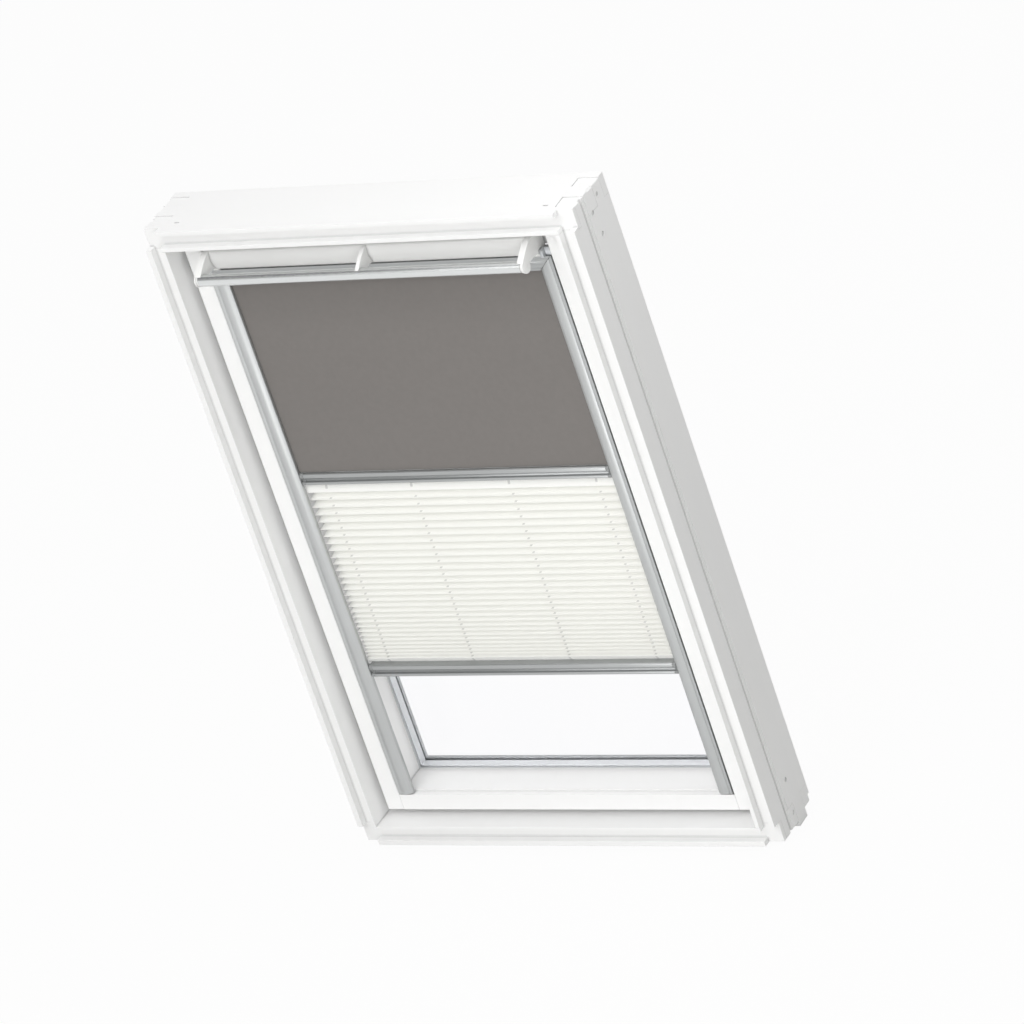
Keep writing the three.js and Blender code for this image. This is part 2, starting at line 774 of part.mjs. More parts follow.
function casing() {
  const { low, high, gap } = mitreLine();
  const body = alongX(casingOutline(), -blindHalf, blindHalf);
  const below = alongY([
    [low[0] - gap, low[1]], [high[0] + gap, low[1]], [high[0] - gap, high[1]],
  ], blindFront - overrun, blindFront + casingFrontThick + seat);
  const capRoom = slab(openHalf - casingCapThick - 2 * seat, blindHalf + overrun, blindFront + casingFrontThick,
    sashBack, casingLow - overrun, casingTop + overrun);
  return cut(body, ...mirroredTools([below, capRoom]));
}

// Casing end cap with the fixed axle stub that carries the roller
function casingCap() {
  const outer = openHalf - seat;
  const inner = outer - casingCapThick;
  const front = blindFront + casingFrontThick + seat;
  const plate = slab(inner, outer, front, blindFront + casingDepth, casingLow, casingTop);
  const stub = rodX(axleRadius, inner - rollerPlugLength / 2, inner + casingCapThick / 2, rollY, rollZ, smallRoundSteps);
  return join(plate, stub);
}

function rollerHalf() {
  return openHalf - casingCapThick - 4 * seat;
}

function rollerTube() {
  return tubeX(rollerTubeRadius, rollerTubeRadius - rollerTubeWall, -rollerHalf(), rollerHalf(), rollY, rollZ);
}

function clothRoll() {
  const half = rollerHalf() - lap;
  return tubeX(rollRadius, rollerTubeRadius + seat, -half, half, rollY, rollZ);
}

function rollerPlug() {
  const outer = rollerHalf();
  return tubeX(rollerTubeRadius - rollerTubeWall - seat, axleRadius + axleFit, outer - rollerPlugLength, outer,
    rollY, rollZ);
}

function rollerSpring() {
  const half = rollerHalf() * springLengthShare;
  const outer = rollerTubeRadius - rollerTubeWall - seat;
  return tubeX(outer, outer - springWall, -half, half, rollY, rollZ);
}

function blackoutCloth() {
  const half = rollerHalf() - lap;
  const bottom = upperBarBottom + gripHeight + seat;
  return slab(-half, half, blackoutPlace - blackoutThick / 2, blackoutPlace + blackoutThick / 2, bottom, rollZ);
}

// The pleats' front and back folds, from the upper bar down: wide at the top and closing towards the
// lower bar, each back fold sagging towards the fold below it
function pleatFolds() {
  const top = upperBarBottom - seat;
  const bottom = lowerBarBottom + gripHeight + seat;
  const steps = Array.from({ length: pleatCount }, (unused, i) => {
    const droop = 1 - pleatDroopShare * (i / (pleatCount - 1)) ** pleatDroopPower;
    return i === 0 ? pleatFirstShare : droop;
  });
  const total = steps.reduce((sum, step) => sum + step, 0) + pleatLastShare;
  const unit = (top - bottom) / total;
  const front = pleatFront;
  const back = pleatFront + pleatDepth;
  const folds = [[back, top]];
  let z = top;
  steps.forEach((step, i) => {
    const next = z - step * unit;
    if (i > 0) {
      folds.push([back, next + pleatSagShare * (z - next)]);
    }
    folds.push([front, next]);
    z = next;
  });
  folds.push([back, bottom]);
  return folds;
}

// One side of a thin folded strip: every panel shifted by the offset, the folds mitred
function shiftedFolds(folds, offset) {
  const panels = folds.slice(1).map(([y1, z1], i) => {
    const [y0, z0] = folds[i];
    const long = Math.hypot(y1 - y0, z1 - z0);
    return { y: y0, z: z0, along: [(y1 - y0) / long, (z1 - z0) / long], end: [y1, z1] };
  });
  const shifted = panels.map(({ y, z, along }) => ({
    y: y - offset * along[1], z: z + offset * along[0], along,
  }));
  const meet = (a, b) => {
    const cross = a.along[0] * b.along[1] - a.along[1] * b.along[0];
    const run = ((b.y - a.y) * b.along[1] - (b.z - a.z) * b.along[0]) / cross;
    return [a.y + run * a.along[0], a.z + run * a.along[1]];
  };
  const first = shifted[0];
  const last = panels[panels.length - 1];
  const end = [last.end[0] - offset * last.along[1], last.end[1] + offset * last.along[0]];
  return [[first.y, first.z], ...shifted.slice(1).map((panel, i) => meet(shifted[i], panel)), end];
}

function pleatedCloth() {
  const folds = pleatFolds();
  const half = lipInner + pleatEndGap;
  const sides = [shiftedFolds(folds, pleatThick / 2), shiftedFolds(folds, -pleatThick / 2)];
  const room = slab(-half - overrun, half + overrun, 0, sashBack, lowerBarBottom + gripHeight + seat,
    upperBarBottom - seat);
  return keep(alongX([...sides[0], ...sides[1].reverse()], -half, half), room);
}

// Grip bar section: flat top, rounded brow, a finger groove under it and a lower lip
const gripShares = [
  [1, 0], [1, 1], [0.12, 1], [0.03, 0.95], [0, 0.84], [0, 0.66], [0.05, 0.6], [0.34, 0.54], [0.38, 0.4],
  [0.3, 0.28], [0.08, 0.24], [0.05, 0.16], [0.05, 0.03], [0.1, 0],
];

function gripOutline() {
  return gripShares.map(([depthShare, heightShare]) => [
    gripFront + depthShare * gripDepth, heightShare * gripHeight,
  ]);
}

function barHalf() {
  return lipInner - gripCapGap - gripEndCap;
}

function gripBar() {
  return alongX(gripOutline(), -barHalf(), barHalf());
}

// End cap of a grip bar with the glide that runs behind the rail's lip, drawn for the right side
function gripGlide() {
  const inner = barHalf() + seat;
  const outer = lipInner - gripCapGap;
  const capBody = alongX(gripOutline(), inner, outer);
  const glideFront = lipBack + 2 * seat;
  const middle = gripHeight / 2;
  const glide = slab(outer - lap, lipInner + glideReach, glideFront, glideFront + glideDepth,
    middle - glideHeight / 2, middle + glideHeight / 2);
  return join(capBody, glide);
}

function gripAssembly(name, bottom) {
  const glide = gripGlide();
  const place = [0, 0, bottom];
  return assembly(
    piece(name, gripBar(), satinAluminium, place),
    piece(`${name}_glide_right`, glide, greyPlastic, place),
    piece(`${name}_glide_left`, mirrored(glide), greyPlastic, place),
  );
}

// The control bar's oval leans: its long axis rises towards the front, by this share of a full turn
const barLeanShare = 0.097;

// Control bar section: an oval about the bar's middle
function barOval(grow) {
  const lean = barLeanShare * 2 * Math.PI;
  return Array.from({ length: roundSteps }, (unused, i) => {
    const angle = (i / roundSteps) * 2 * Math.PI;
    const long = (controlBarLongHalf + grow) * Math.cos(angle);
    const short = (controlBarShortHalf + grow) * Math.sin(angle);
    return [
      -controlBarForward + long * Math.cos(lean) + short * Math.sin(lean),
      controlBarZ - long * Math.sin(lean) + short * Math.cos(lean),
    ];
  });
}

function controlBar() {
  const half = controlHalf - endPlateThick - barCapThick - 2 * seat;
  return alongX(barOval(0), -half, half, [barOval(-controlBarWall)]);
}

// Closing cap between the control bar's right end and the bracket's end plate
function barCap() {
  const outer = controlHalf - endPlateThick - seat;
  return alongX(barOval(0), outer - barCapThick, outer);
}

// Side view of a bracket arm, as shares of its reach and height below its top
const armShares = [
  [0, 0], [0.17, 0.01], [0.35, 0.035], [0.48, 0.1], [0.62, 0.2], [0.75, 0.31], [0.87, 0.425], [0.935, 0.5],
  [0.975, 0.565], [0.84, 0.76], [0.62, 0.74], [0.37, 0.75], [0.23, 0.78], [0.12, 0.84], [0, 0.88],
];

function armOutline() {
  return armShares.map(([reachShare, dropShare]) => [
    bracketBack - reachShare * bracketReach, sashHigh - dropShare * bracketHeight,
  ]);
}

function controlAxisHole(x0, x1) {
  return rodX(controlPinRadius + controlPinFit, x0, x1, controlAxisY, controlAxisZ, smallRoundSteps);
}

// A bracket's arm, whose foot stands on the top of the bar
function bracketArm(x0, x1) {
  return cut(alongX(armOutline(), x0, x1), alongX(barOval(seat), x0 - overrun, x1 + overrun));
}

// End bracket: its arm, the hinge end with the bore for the pin, and the plate that closes the bar, drawn for
// the right side
function endBracket() {
  const inner = controlHalf - endBracketThick;
  const body = join(
    bracketArm(inner, controlHalf),
    slab(inner, controlHalf, bracketBack - lap, endBracketBack, controlAxisZ, sashHigh),
    rodX(bracketBossRadius, inner, controlHalf, controlAxisY, controlAxisZ, roundSteps),
    alongX(barOval(endPlateRim), controlHalf - endPlateThick, controlHalf),
  );
  return cut(body, controlAxisHole(inner - overrun, controlHalf + overrun));
}

// Middle bracket, ending against the flap that it is fixed to
function middleBracket() {
  const half = middleBracketThick / 2;
  return cut(bracketArm(-half, half), alongX(flapRoomOutline(), -half - overrun, half + overrun));
}

// Ventilation flap: a bowed shell between the end brackets, open towards the sash
const flapFrontShares = [
  [1, 1], [0.22, 1], [0.07, 0.93], [0, 0.72], [0.01, 0.51], [0.14, 0.33], [0.34, 0.14], [0.63, 0],
];

function flapPoints(inset) {
  const bottom = sashHigh - flapHeight;
  const back = bracketBack;
  const front = back - flapDepth;
  return flapFrontShares.map(([depthShare, heightShare]) => [
    Math.min(front + inset + depthShare * (flapDepth - inset), back),
    bottom + inset + heightShare * (flapHeight - 2 * inset),
  ]);
}

function flapOutline() {
  return [...flapPoints(0), ...flapPoints(flapWall).reverse()];
}

function flapRoomOutline() {
  const outer = flapPoints(-seat);
  const back = bracketBack + lap;
  return [...outer, [back, sashHigh - flapHeight - overrun], [back, sashHigh + seat]];
}

function ventFlap() {
  const half = controlHalf - endBracketThick - seat;
  return alongX(flapOutline(), -half, half);
}

// Hinge ear on the sash stile with the pin that the end bracket turns on, drawn for the right side
function hingeEar() {
  const inner = controlHalf + 2 * seat;
  const outer = inner + hingeEarThick;
  const halfHeight = hingeEarHeight / 2;
  const pinLength = endBracketThick - lap;
  const low = Math.max(controlAxisZ - halfHeight, casingTop + seat);
  const plate = slab(inner, outer, controlAxisY - halfHeight, controlAxisY + halfHeight, low,
    controlAxisZ + halfHeight);
  const foot = slab(inner, stileInner - seat, sashFront + seat, controlAxisY + halfHeight, low,
    controlAxisZ + halfHeight);
  const pin = rodX(controlPinRadius, inner - pinLength, inner + lap, controlAxisY, controlAxisZ, smallRoundSteps);
  return join(plate, foot, pin);
}

const frameGroup = assembly(
  piece("frame_jamb_right", cut(jamb(), ...bushPockets()), whitePaint),
  piece("frame_jamb_left", mirrored(jamb()), whitePaint),
  piece("frame_head", head(), whitePaint),
  piece("frame_sill", sill(), whitePaint),
  piece("frame_seal_upper", frameSeal(true), blackRubber),
  piece("frame_seal_lower", frameSeal(false), blackRubber),
  frameCovers(),
  pair("pivot_plate", pivotPlate(), zincSteel),
  piece("latch_striker", striker(), zincSteel),
  piece("bolt_bush_lower", boltBush(bushPlaces()[0]), zincSteel),
  piece("bolt_bush_upper", boltBush(bushPlaces()[1]), zincSteel),
);

const blindGroup = assembly(
  piece("blind_casing", casing(), satinAluminium),
  pair("casing_cap", casingCap(), greyPlastic),
  pair("side_rail", sideRail(), satinAluminium),
  piece("roller_tube", rollerTube(), satinAluminium),
  piece("roller_cloth", clothRoll(), blackoutFabric),
  pair("roller_plug", rollerPlug(), greyPlastic),
  piece("roller_spring", rollerSpring(), zincSteel),
  piece("blackout_cloth", blackoutCloth(), blackoutFabric),
  piece("pleated_cloth", pleatedCloth(), pleatedFabric),
  gripAssembly("upper_bar", upperBarBottom),
  gripAssembly("lower_bar", lowerBarBottom),
);

const controlGroup = assembly(
  piece("control_bar", controlBar(), satinAluminium),
  pair("control_bar_cap", barCap(), whitePlastic),
  pair("bar_bracket", endBracket(), whitePlastic),
  piece("bar_bracket_middle", middleBracket(), whitePlastic),
  piece("vent_flap", ventFlap(), whitePlastic),
);

const sashGroup = assembly(
  piece("sash_stile_right", cut(stile(), ...boltBore()), whitePaint),
  piece("sash_stile_left", mirrored(stile()), whitePaint),
  piece("sash_rail_top", cut(sashRail(true), latchPocket()), whitePaint),
  piece("sash_rail_bottom", sashRail(false), whitePaint),
  glazingUnit(),
  sashCovers(),
  pair("pivot_pin", pivotPin(), zincSteel),
  piece("latch_case", latchCase(), zincSteel),
  piece("latch_bolt", latchBolt(), zincSteel),
  piece("barrel_bolt", barrelBolt(), zincSteel),
  pair("hinge_ear", hingeEar(), zincSteel),
  blindGroup,
  controlGroup,
);

const group = assembly(frameGroup, sashGroup);

export default group;
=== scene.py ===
"""A roof window with its duo blind, dressed for a plain studio photograph.

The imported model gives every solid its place. This script rounds the arrises of the timber, metal and
plastic pieces, makes the two cloths as thin sheets, gives each piece its finish, and sets up the
camera, the lamps and the floor. One more lamp rides on the sash, just inside the glass. Lengths are in metres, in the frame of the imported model: X across
the window, Y from the room to the outside, Z up from the sill.
"""

import json
import logging
import math
from dataclasses import dataclass, field
from enum import Enum

import bpy
from mathutils import Matrix, Vector

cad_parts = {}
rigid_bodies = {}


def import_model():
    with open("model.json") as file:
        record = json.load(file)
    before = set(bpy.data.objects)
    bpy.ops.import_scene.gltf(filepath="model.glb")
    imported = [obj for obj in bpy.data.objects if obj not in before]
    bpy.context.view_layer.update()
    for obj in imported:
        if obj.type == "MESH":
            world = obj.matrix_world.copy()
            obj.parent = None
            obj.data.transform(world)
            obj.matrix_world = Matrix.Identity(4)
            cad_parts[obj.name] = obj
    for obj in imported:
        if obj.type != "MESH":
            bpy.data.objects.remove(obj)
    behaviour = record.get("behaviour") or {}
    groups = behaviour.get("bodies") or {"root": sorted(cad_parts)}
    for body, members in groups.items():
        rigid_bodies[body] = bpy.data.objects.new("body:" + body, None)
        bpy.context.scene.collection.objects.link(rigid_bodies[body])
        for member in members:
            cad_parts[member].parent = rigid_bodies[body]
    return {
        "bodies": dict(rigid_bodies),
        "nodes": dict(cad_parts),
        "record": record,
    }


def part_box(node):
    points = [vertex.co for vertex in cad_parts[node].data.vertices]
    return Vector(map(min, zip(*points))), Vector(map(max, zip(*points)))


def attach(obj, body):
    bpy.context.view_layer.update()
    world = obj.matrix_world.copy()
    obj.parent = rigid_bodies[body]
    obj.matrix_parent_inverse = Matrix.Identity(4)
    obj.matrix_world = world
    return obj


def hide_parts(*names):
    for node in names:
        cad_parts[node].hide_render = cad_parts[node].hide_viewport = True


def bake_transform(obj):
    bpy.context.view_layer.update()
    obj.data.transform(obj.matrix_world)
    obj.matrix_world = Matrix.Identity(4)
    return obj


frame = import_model()

log = logging.getLogger("roof_window")
MM = 0.001

Colour = tuple[float, float, float]
Triple = tuple[float, float, float]


def linear(value: int) -> float:
    """Turns one 8-bit screen value into linear light.

    Args:
        value: The screen value, 0 to 255.

    Returns:
        The linear value, 0 to 1.
    """
    share = value / 255
    return share / 12.92 if share <= 0.04045 else ((share + 0.055) / 1.055) ** 2.4


def screen(red: int, green: int, blue: int) -> Colour:
    """Turns a screen colour into a linear one.

    Args:
        red: Red, 0 to 255.
        green: Green, 0 to 255.
        blue: Blue, 0 to 255.

    Returns:
        The linear colour.
    """
    return linear(red), linear(green), linear(blue)


# ---------------------------------------------------------------- modelling helpers


def alone(obj: bpy.types.Object) -> None:
    """Leaves one object selected and active."""
    bpy.ops.object.select_all(action="DESELECT")
    obj.select_set(True)
    bpy.context.view_layer.objects.active = obj


def apply_modifiers(obj: bpy.types.Object) -> None:
    """Applies every modifier of an object, in order."""
    alone(obj)
    for modifier in list(obj.modifiers):
        bpy.ops.object.modifier_apply(modifier=modifier.name)


def smooth(obj: bpy.types.Object, degrees: float) -> None:
    """Smooths the shading over edges flatter than an angle in degrees."""
    alone(obj)
    bpy.ops.object.shade_smooth_by_angle(angle=math.radians(degrees))


def settle(obj: bpy.types.Object) -> None:
    """Puts an object's place into its mesh, so that the object itself sits at the origin."""
    alone(obj)
    bpy.ops.object.transform_apply(location=True, rotation=True, scale=True)


def sum_of(tree: bpy.types.NodeTree, operation: str, first: bpy.types.NodeSocket,
           second: bpy.types.NodeSocket | float) -> bpy.types.NodeSocket:
    """Adds one sum of two values to a node tree.

    Args:
        tree: The nodes to add it to.
        operation: Blender's name for the sum.
        first: The first value's socket.
        second: The second value, or its socket.

    Returns:
        The socket with the answer.
    """
    node = tree.nodes.new("ShaderNodeMath")
    node.operation = operation
    tree.links.new(first, node.inputs[0])
    if isinstance(second, bpy.types.NodeSocket):
        tree.links.new(second, node.inputs[1])
    else:
        node.inputs[1].default_value = second
    return node.outputs[0]


def copy_of(node: str) -> bpy.types.Object:
    """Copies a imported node's mesh into a piece of its own and closes its seams.

    Args:
        node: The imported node's name.

    Returns:
        The new object, at the origin, with joined vertices and whole flat faces.
    """
    source = frame["nodes"][node]
    obj = bpy.data.objects.new(f"{node}_piece", source.data.copy())
    obj.data.materials.clear()
    bpy.context.scene.collection.objects.link(obj)
    alone(obj)
    bpy.ops.mesh.customdata_custom_splitnormals_clear()
    bpy.ops.object.mode_set(mode="EDIT")
    bpy.ops.mesh.select_all(action="SELECT")
    bpy.ops.mesh.remove_doubles(threshold=0.01 * MM)
    bpy.ops.mesh.dissolve_limited(angle_limit=math.radians(0.6))
    bpy.ops.mesh.select_all(action="DESELECT")
    bpy.ops.object.mode_set(mode="OBJECT")
    return obj


def round_arrises(obj: bpy.types.Object, radius: float, segments: int, least_angle: float) -> None:
    """Rounds an object's sharp edges.

    Args:
        obj: The object.
        radius: How far the rounding reaches from each edge.
        segments: How many faces make the rounding.
        least_angle: Edges flatter than this, in degrees, stay as they are.
    """
    bevel = obj.modifiers.new("arrises", "BEVEL")
    bevel.width = radius
    bevel.segments = segments
    bevel.limit_method = "ANGLE"
    bevel.angle_limit = math.radians(least_angle)
    bevel.use_clamp_overlap = True
    bevel.harden_normals = False
    apply_modifiers(obj)


# ---------------------------------------------------------------- finishes


class Pattern(Enum):
    """What the fine texture of a finish looks like."""

    GRAIN = "timber grain under lacquer"
    DRAWN = "fine lines of drawn metal"
    MOULDED = "even speckle of moulded plastic"
    WOVEN = "crossing threads"
    FLOAT = "the faint waviness of glass"


@dataclass(frozen=True)
class Finish:
    """One surface finish, named after the record's material slot that uses it.

    The second colour is the one that the pattern brings in. The pattern's scale counts its repeats
    in a metre along X, Y and Z, and the relief is the height of its bumps in metres. The glow is painted
    light that stands for the daylight that comes through a thin cloth, and the crevice is how much painted
    shade darkens narrow grooves and joints, found by ambient occlusion.
    """

    slot: str
    colour: Colour
    second: Colour
    roughness: float
    pattern: Pattern
    scale: Triple
    relief: float
    metallic: float = 0.0
    roughness_play: float = 0.06
    coat: float = 0.0
    sheen: float = 0.0
    transmission: float = 0.0
    refraction: float = 1.45
    glow: float = 0.0
    crevice: float = 0.0


FINISHES = (
    # A crevice value paints shade into narrow grooves and joints.
    Finish("painted_timber", screen(250, 250, 250), screen(247, 247, 246), 0.5, Pattern.GRAIN,
           (90, 90, 5), 0.006 * MM, coat=0.05, crevice=0.36),
    Finish("white_plastic", screen(244, 244, 243), screen(240, 240, 238), 0.38, Pattern.MOULDED,
           (900, 900, 900), 0.012 * MM, coat=0.1, crevice=0.3),
    Finish("satin_aluminium", screen(178, 180, 180), screen(170, 172, 172), 0.36, Pattern.DRAWN,
           (4, 1400, 1400), 0.002 * MM, metallic=0.78, roughness_play=0.03),
    Finish("rail_aluminium", screen(196, 198, 198), screen(184, 186, 186), 0.42, Pattern.DRAWN,
           (1400, 1400, 4), 0.004 * MM, metallic=0.6),
    Finish("bar_aluminium", screen(224, 226, 226), screen(219, 221, 221), 0.26, Pattern.DRAWN,
           (4, 1400, 1400), 0.0006 * MM, metallic=0.92, roughness_play=0.02),
    Finish("spacer_steel", screen(248, 250, 252), screen(243, 246, 249), 0.5, Pattern.MOULDED,
           (300, 300, 300), 0.01 * MM, metallic=0.05),
    Finish("cover_aluminium", screen(226, 229, 231), screen(218, 221, 223), 0.5, Pattern.MOULDED,
           (700, 700, 700), 0.02 * MM, metallic=0.2),
    Finish("zinc_steel", screen(200, 202, 204), screen(180, 183, 186), 0.38, Pattern.MOULDED,
           (160, 160, 160), 0.01 * MM, metallic=0.5, roughness_play=0.14),
    Finish("glazing", screen(255, 255, 255), screen(254, 254, 255), 0.02, Pattern.FLOAT,
           (3, 3, 3), 0.0, transmission=1.0, roughness_play=0.0, refraction=1.12),
    Finish("black_rubber", screen(84, 85, 86), screen(70, 71, 72), 0.75, Pattern.MOULDED,
           (600, 600, 600), 0.03 * MM),
    Finish("pale_rubber", screen(226, 228, 229), screen(219, 221, 222), 0.7, Pattern.MOULDED,
           (600, 600, 600), 0.03 * MM),
    Finish("grey_plastic", screen(152, 154, 154), screen(142, 144, 144), 0.5, Pattern.MOULDED,
           (900, 900, 900), 0.015 * MM),
    Finish("blackout_fabric", screen(130, 126, 123), screen(119, 115, 112), 0.85, Pattern.WOVEN,
           (1500, 1500, 1500), 0.03 * MM, sheen=0.1),
    # The pleated cloth's glow is painted light.
    Finish("pleated_fabric", screen(246, 246, 243), screen(242, 242, 239), 0.8, Pattern.WOVEN,
           (1900, 1900, 1900), 0.02 * MM, sheen=0.05, glow=0.08),
)


@dataclass
class Paintbox:
    """Builds the node groups and the materials, each once, and dresses pieces with them."""

    hole_columns: tuple[float, float] = (90 * MM, 249 * MM)
    hole_half_width: float = 2.2 * MM
    hole_depth: float = 33.5 * MM
    hole_half_length: float = 2.2 * MM
    hole_shade: Colour = screen(214, 214, 212)
    # How far and how strongly the painted crevice shade reaches.
    crevice_reach: float = 7 * MM
    crevice_open: float = 0.85
    crevice_shut: float = 0.25
    groups: dict[Pattern, bpy.types.NodeTree] = field(default_factory=dict)
    crevices: bpy.types.NodeTree | None = None
    materials: dict[str, bpy.types.Material] = field(default_factory=dict)

    def build(self) -> None:
        """Makes every group and material."""
        makers = {
            Pattern.GRAIN: self._grain_group,
            Pattern.DRAWN: self._drawn_group,
            Pattern.MOULDED: self._moulded_group,
            Pattern.WOVEN: self._woven_group,
            Pattern.FLOAT: self._float_group,
        }
        for pattern, maker in makers.items():
            self.groups[pattern] = maker()
        self.crevices = self._crevice_group()
        for finish in FINISHES:
            self.materials[finish.slot] = self._material(finish)
        log.info("finishes: %d materials from %d patterns", len(self.materials), len(self.groups))

    def dress(self, obj: bpy.types.Object, slot: str) -> None:
        """Gives a piece one of the materials.

        Args:
            obj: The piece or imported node.
            slot: The finish's name.
        """
        obj.data.materials.clear()
        obj.data.materials.append(self.materials[slot])

    @staticmethod
    def _new_group(name: str) -> tuple[bpy.types.NodeTree, bpy.types.Node, bpy.types.Node]:
        """Starts a pattern group with the sockets that all of them share.

        Args:
            name: The group's name.

        Returns:
            The group, its input node and its output node.
        """
        tree = bpy.data.node_groups.new(name, "ShaderNodeTree")
        tree.interface.new_socket("Place", in_out="INPUT", socket_type="NodeSocketVector")
        tree.interface.new_socket("Scale", in_out="INPUT", socket_type="NodeSocketVector")
        tree.interface.new_socket("Tone", in_out="OUTPUT", socket_type="NodeSocketFloat")
        tree.interface.new_socket("Height", in_out="OUTPUT", socket_type="NodeSocketFloat")
        return tree, tree.nodes.new("NodeGroupInput"), tree.nodes.new("NodeGroupOutput")

    @staticmethod
    def _scaled_place(tree: bpy.types.NodeTree, source: bpy.types.Node) -> bpy.types.NodeSocket:
        """Multiplies the place by the scale.

        Args:
            tree: The group.
            source: Its input node.

        Returns:
            The socket with the scaled place.
        """
        product = tree.nodes.new("ShaderNodeVectorMath")
        product.operation = "MULTIPLY"
        tree.links.new(source.outputs["Place"], product.inputs[0])
        tree.links.new(source.outputs["Scale"], product.inputs[1])
        return product.outputs[0]

    @staticmethod
    def _noise(tree: bpy.types.NodeTree, place: bpy.types.NodeSocket, size: float, detail: float,
               roughness: float = 0.5) -> bpy.types.Node:
        """Adds a noise texture.

        Args:
            tree: The group.
            place: The socket that it reads its place from.
            size: Its scale.
            detail: Its levels of detail.
            roughness: How strong the finer levels are.

        Returns:
            The noise node.
        """
        noise = tree.nodes.new("ShaderNodeTexNoise")
        noise.inputs["Scale"].default_value = size
        noise.inputs["Detail"].default_value = detail
        noise.inputs["Roughness"].default_value = roughness
        tree.links.new(place, noise.inputs["Vector"])
        return noise

    def _grain_group(self) -> bpy.types.NodeTree:
        """Long grain and broad, faint clouds, as white lacquer shows them over pine."""
        tree, source, sink = self._new_group("lacquered_grain")
        place = self._scaled_place(tree, source)
        fibres = self._noise(tree, place, 1.0, 4, 0.6)
        clouds = self._noise(tree, source.outputs["Place"], 6.0, 2)
        tone = tree.nodes.new("ShaderNodeMath")
        tone.operation = "MULTIPLY_ADD"
        tone.inputs[1].default_value = 0.6
        share = tree.nodes.new("ShaderNodeMath")
        share.operation = "MULTIPLY"
        share.inputs[1].default_value = 0.4
        tree.links.new(clouds.outputs["Fac"], share.inputs[0])
        tree.links.new(fibres.outputs["Fac"], tone.inputs[0])
        tree.links.new(share.outputs[0], tone.inputs[2])
        tree.links.new(tone.outputs[0], sink.inputs["Tone"])
        tree.links.new(fibres.outputs["Fac"], sink.inputs["Height"])
        return tree

    def _drawn_group(self) -> bpy.types.NodeTree:
        """Fine parallel lines, as a die leaves them on anodised metal."""
        tree, source, sink = self._new_group("drawn_lines")
        place = self._scaled_place(tree, source)
        lines = self._noise(tree, place, 1.0, 2, 0.7)
        haze = self._noise(tree, source.outputs["Place"], 9.0, 2)
        mix = tree.nodes.new("ShaderNodeMath")
        mix.operation = "MULTIPLY"
        tree.links.new(lines.outputs["Fac"], mix.inputs[0])
        tree.links.new(haze.outputs["Fac"], mix.inputs[1])
        double = tree.nodes.new("ShaderNodeMath")
        double.operation = "MULTIPLY"
        double.inputs[1].default_value = 2.0
        double.use_clamp = True
        tree.links.new(mix.outputs[0], double.inputs[0])
        tree.links.new(double.outputs[0], sink.inputs["Tone"])
        tree.links.new(lines.outputs["Fac"], sink.inputs["Height"])
        return tree

    def _moulded_group(self) -> bpy.types.NodeTree:
        """An even fine speckle over a faint broad flow."""
        tree, source, sink = self._new_group("moulded_speckle")
        place = self._scaled_place(tree, source)
        speckle = self._noise(tree, place, 1.0, 2)
        flow = self._noise(tree, source.outputs["Place"], 14.0, 1)
        mean = tree.nodes.new("ShaderNodeMath")
        mean.operation = "ADD"
        tree.links.new(speckle.outputs["Fac"], mean.inputs[0])
        tree.links.new(flow.outputs["Fac"], mean.inputs[1])
        half = tree.nodes.new("ShaderNodeMath")
        half.operation = "MULTIPLY"
        half.inputs[1].default_value = 0.5
        tree.links.new(mean.outputs[0], half.inputs[0])
        tree.links.new(half.outputs[0], sink.inputs["Tone"])
        tree.links.new(speckle.outputs["Fac"], sink.inputs["Height"])
        return tree

    def _woven_group(self) -> bpy.types.NodeTree:
        """Threads that cross in X and in Z, slubbed by a little noise."""
        tree, source, sink = self._new_group("woven_threads")
        place = self._scaled_place(tree, source)
        parts = tree.nodes.new("ShaderNodeSeparateXYZ")
        tree.links.new(place, parts.inputs[0])
        threads = []
        for axis in ("X", "Z"):
            wave = tree.nodes.new("ShaderNodeMath")
            wave.operation = "SINE"
            tree.links.new(parts.outputs[axis], wave.inputs[0])
            threads.append(wave)
        weave = tree.nodes.new("ShaderNodeMath")
        weave.operation = "MULTIPLY_ADD"
        weave.inputs[2].default_value = 0.5
        half = tree.nodes.new("ShaderNodeMath")
        half.operation = "MULTIPLY"
        half.inputs[1].default_value = 0.5
        tree.links.new(threads[0].outputs[0], half.inputs[0])
        tree.links.new(half.outputs[0], weave.inputs[0])
        tree.links.new(threads[1].outputs[0], weave.inputs[1])
        slubs = self._noise(tree, source.outputs["Place"], 120.0, 3)
        tone = tree.nodes.new("ShaderNodeMath")
        tone.operation = "MULTIPLY_ADD"
        tone.inputs[1].default_value = 0.35
        share = tree.nodes.new("ShaderNodeMath")
        share.operation = "MULTIPLY"
        share.inputs[1].default_value = 0.65
        tree.links.new(slubs.outputs["Fac"], share.inputs[0])
        tree.links.new(weave.outputs[0], tone.inputs[0])
        tree.links.new(share.outputs[0], tone.inputs[2])
        tree.links.new(tone.outputs[0], sink.inputs["Tone"])
        tree.links.new(weave.outputs[0], sink.inputs["Height"])
        return tree

    def _float_group(self) -> bpy.types.NodeTree:
        """A very broad, very faint change of tint."""
        tree, source, sink = self._new_group("float_tint")
        place = self._scaled_place(tree, source)
        tint = self._noise(tree, place, 1.0, 1)
        tree.links.new(tint.outputs["Fac"], sink.inputs["Tone"])
        tree.links.new(tint.outputs["Fac"], sink.inputs["Height"])
        return tree

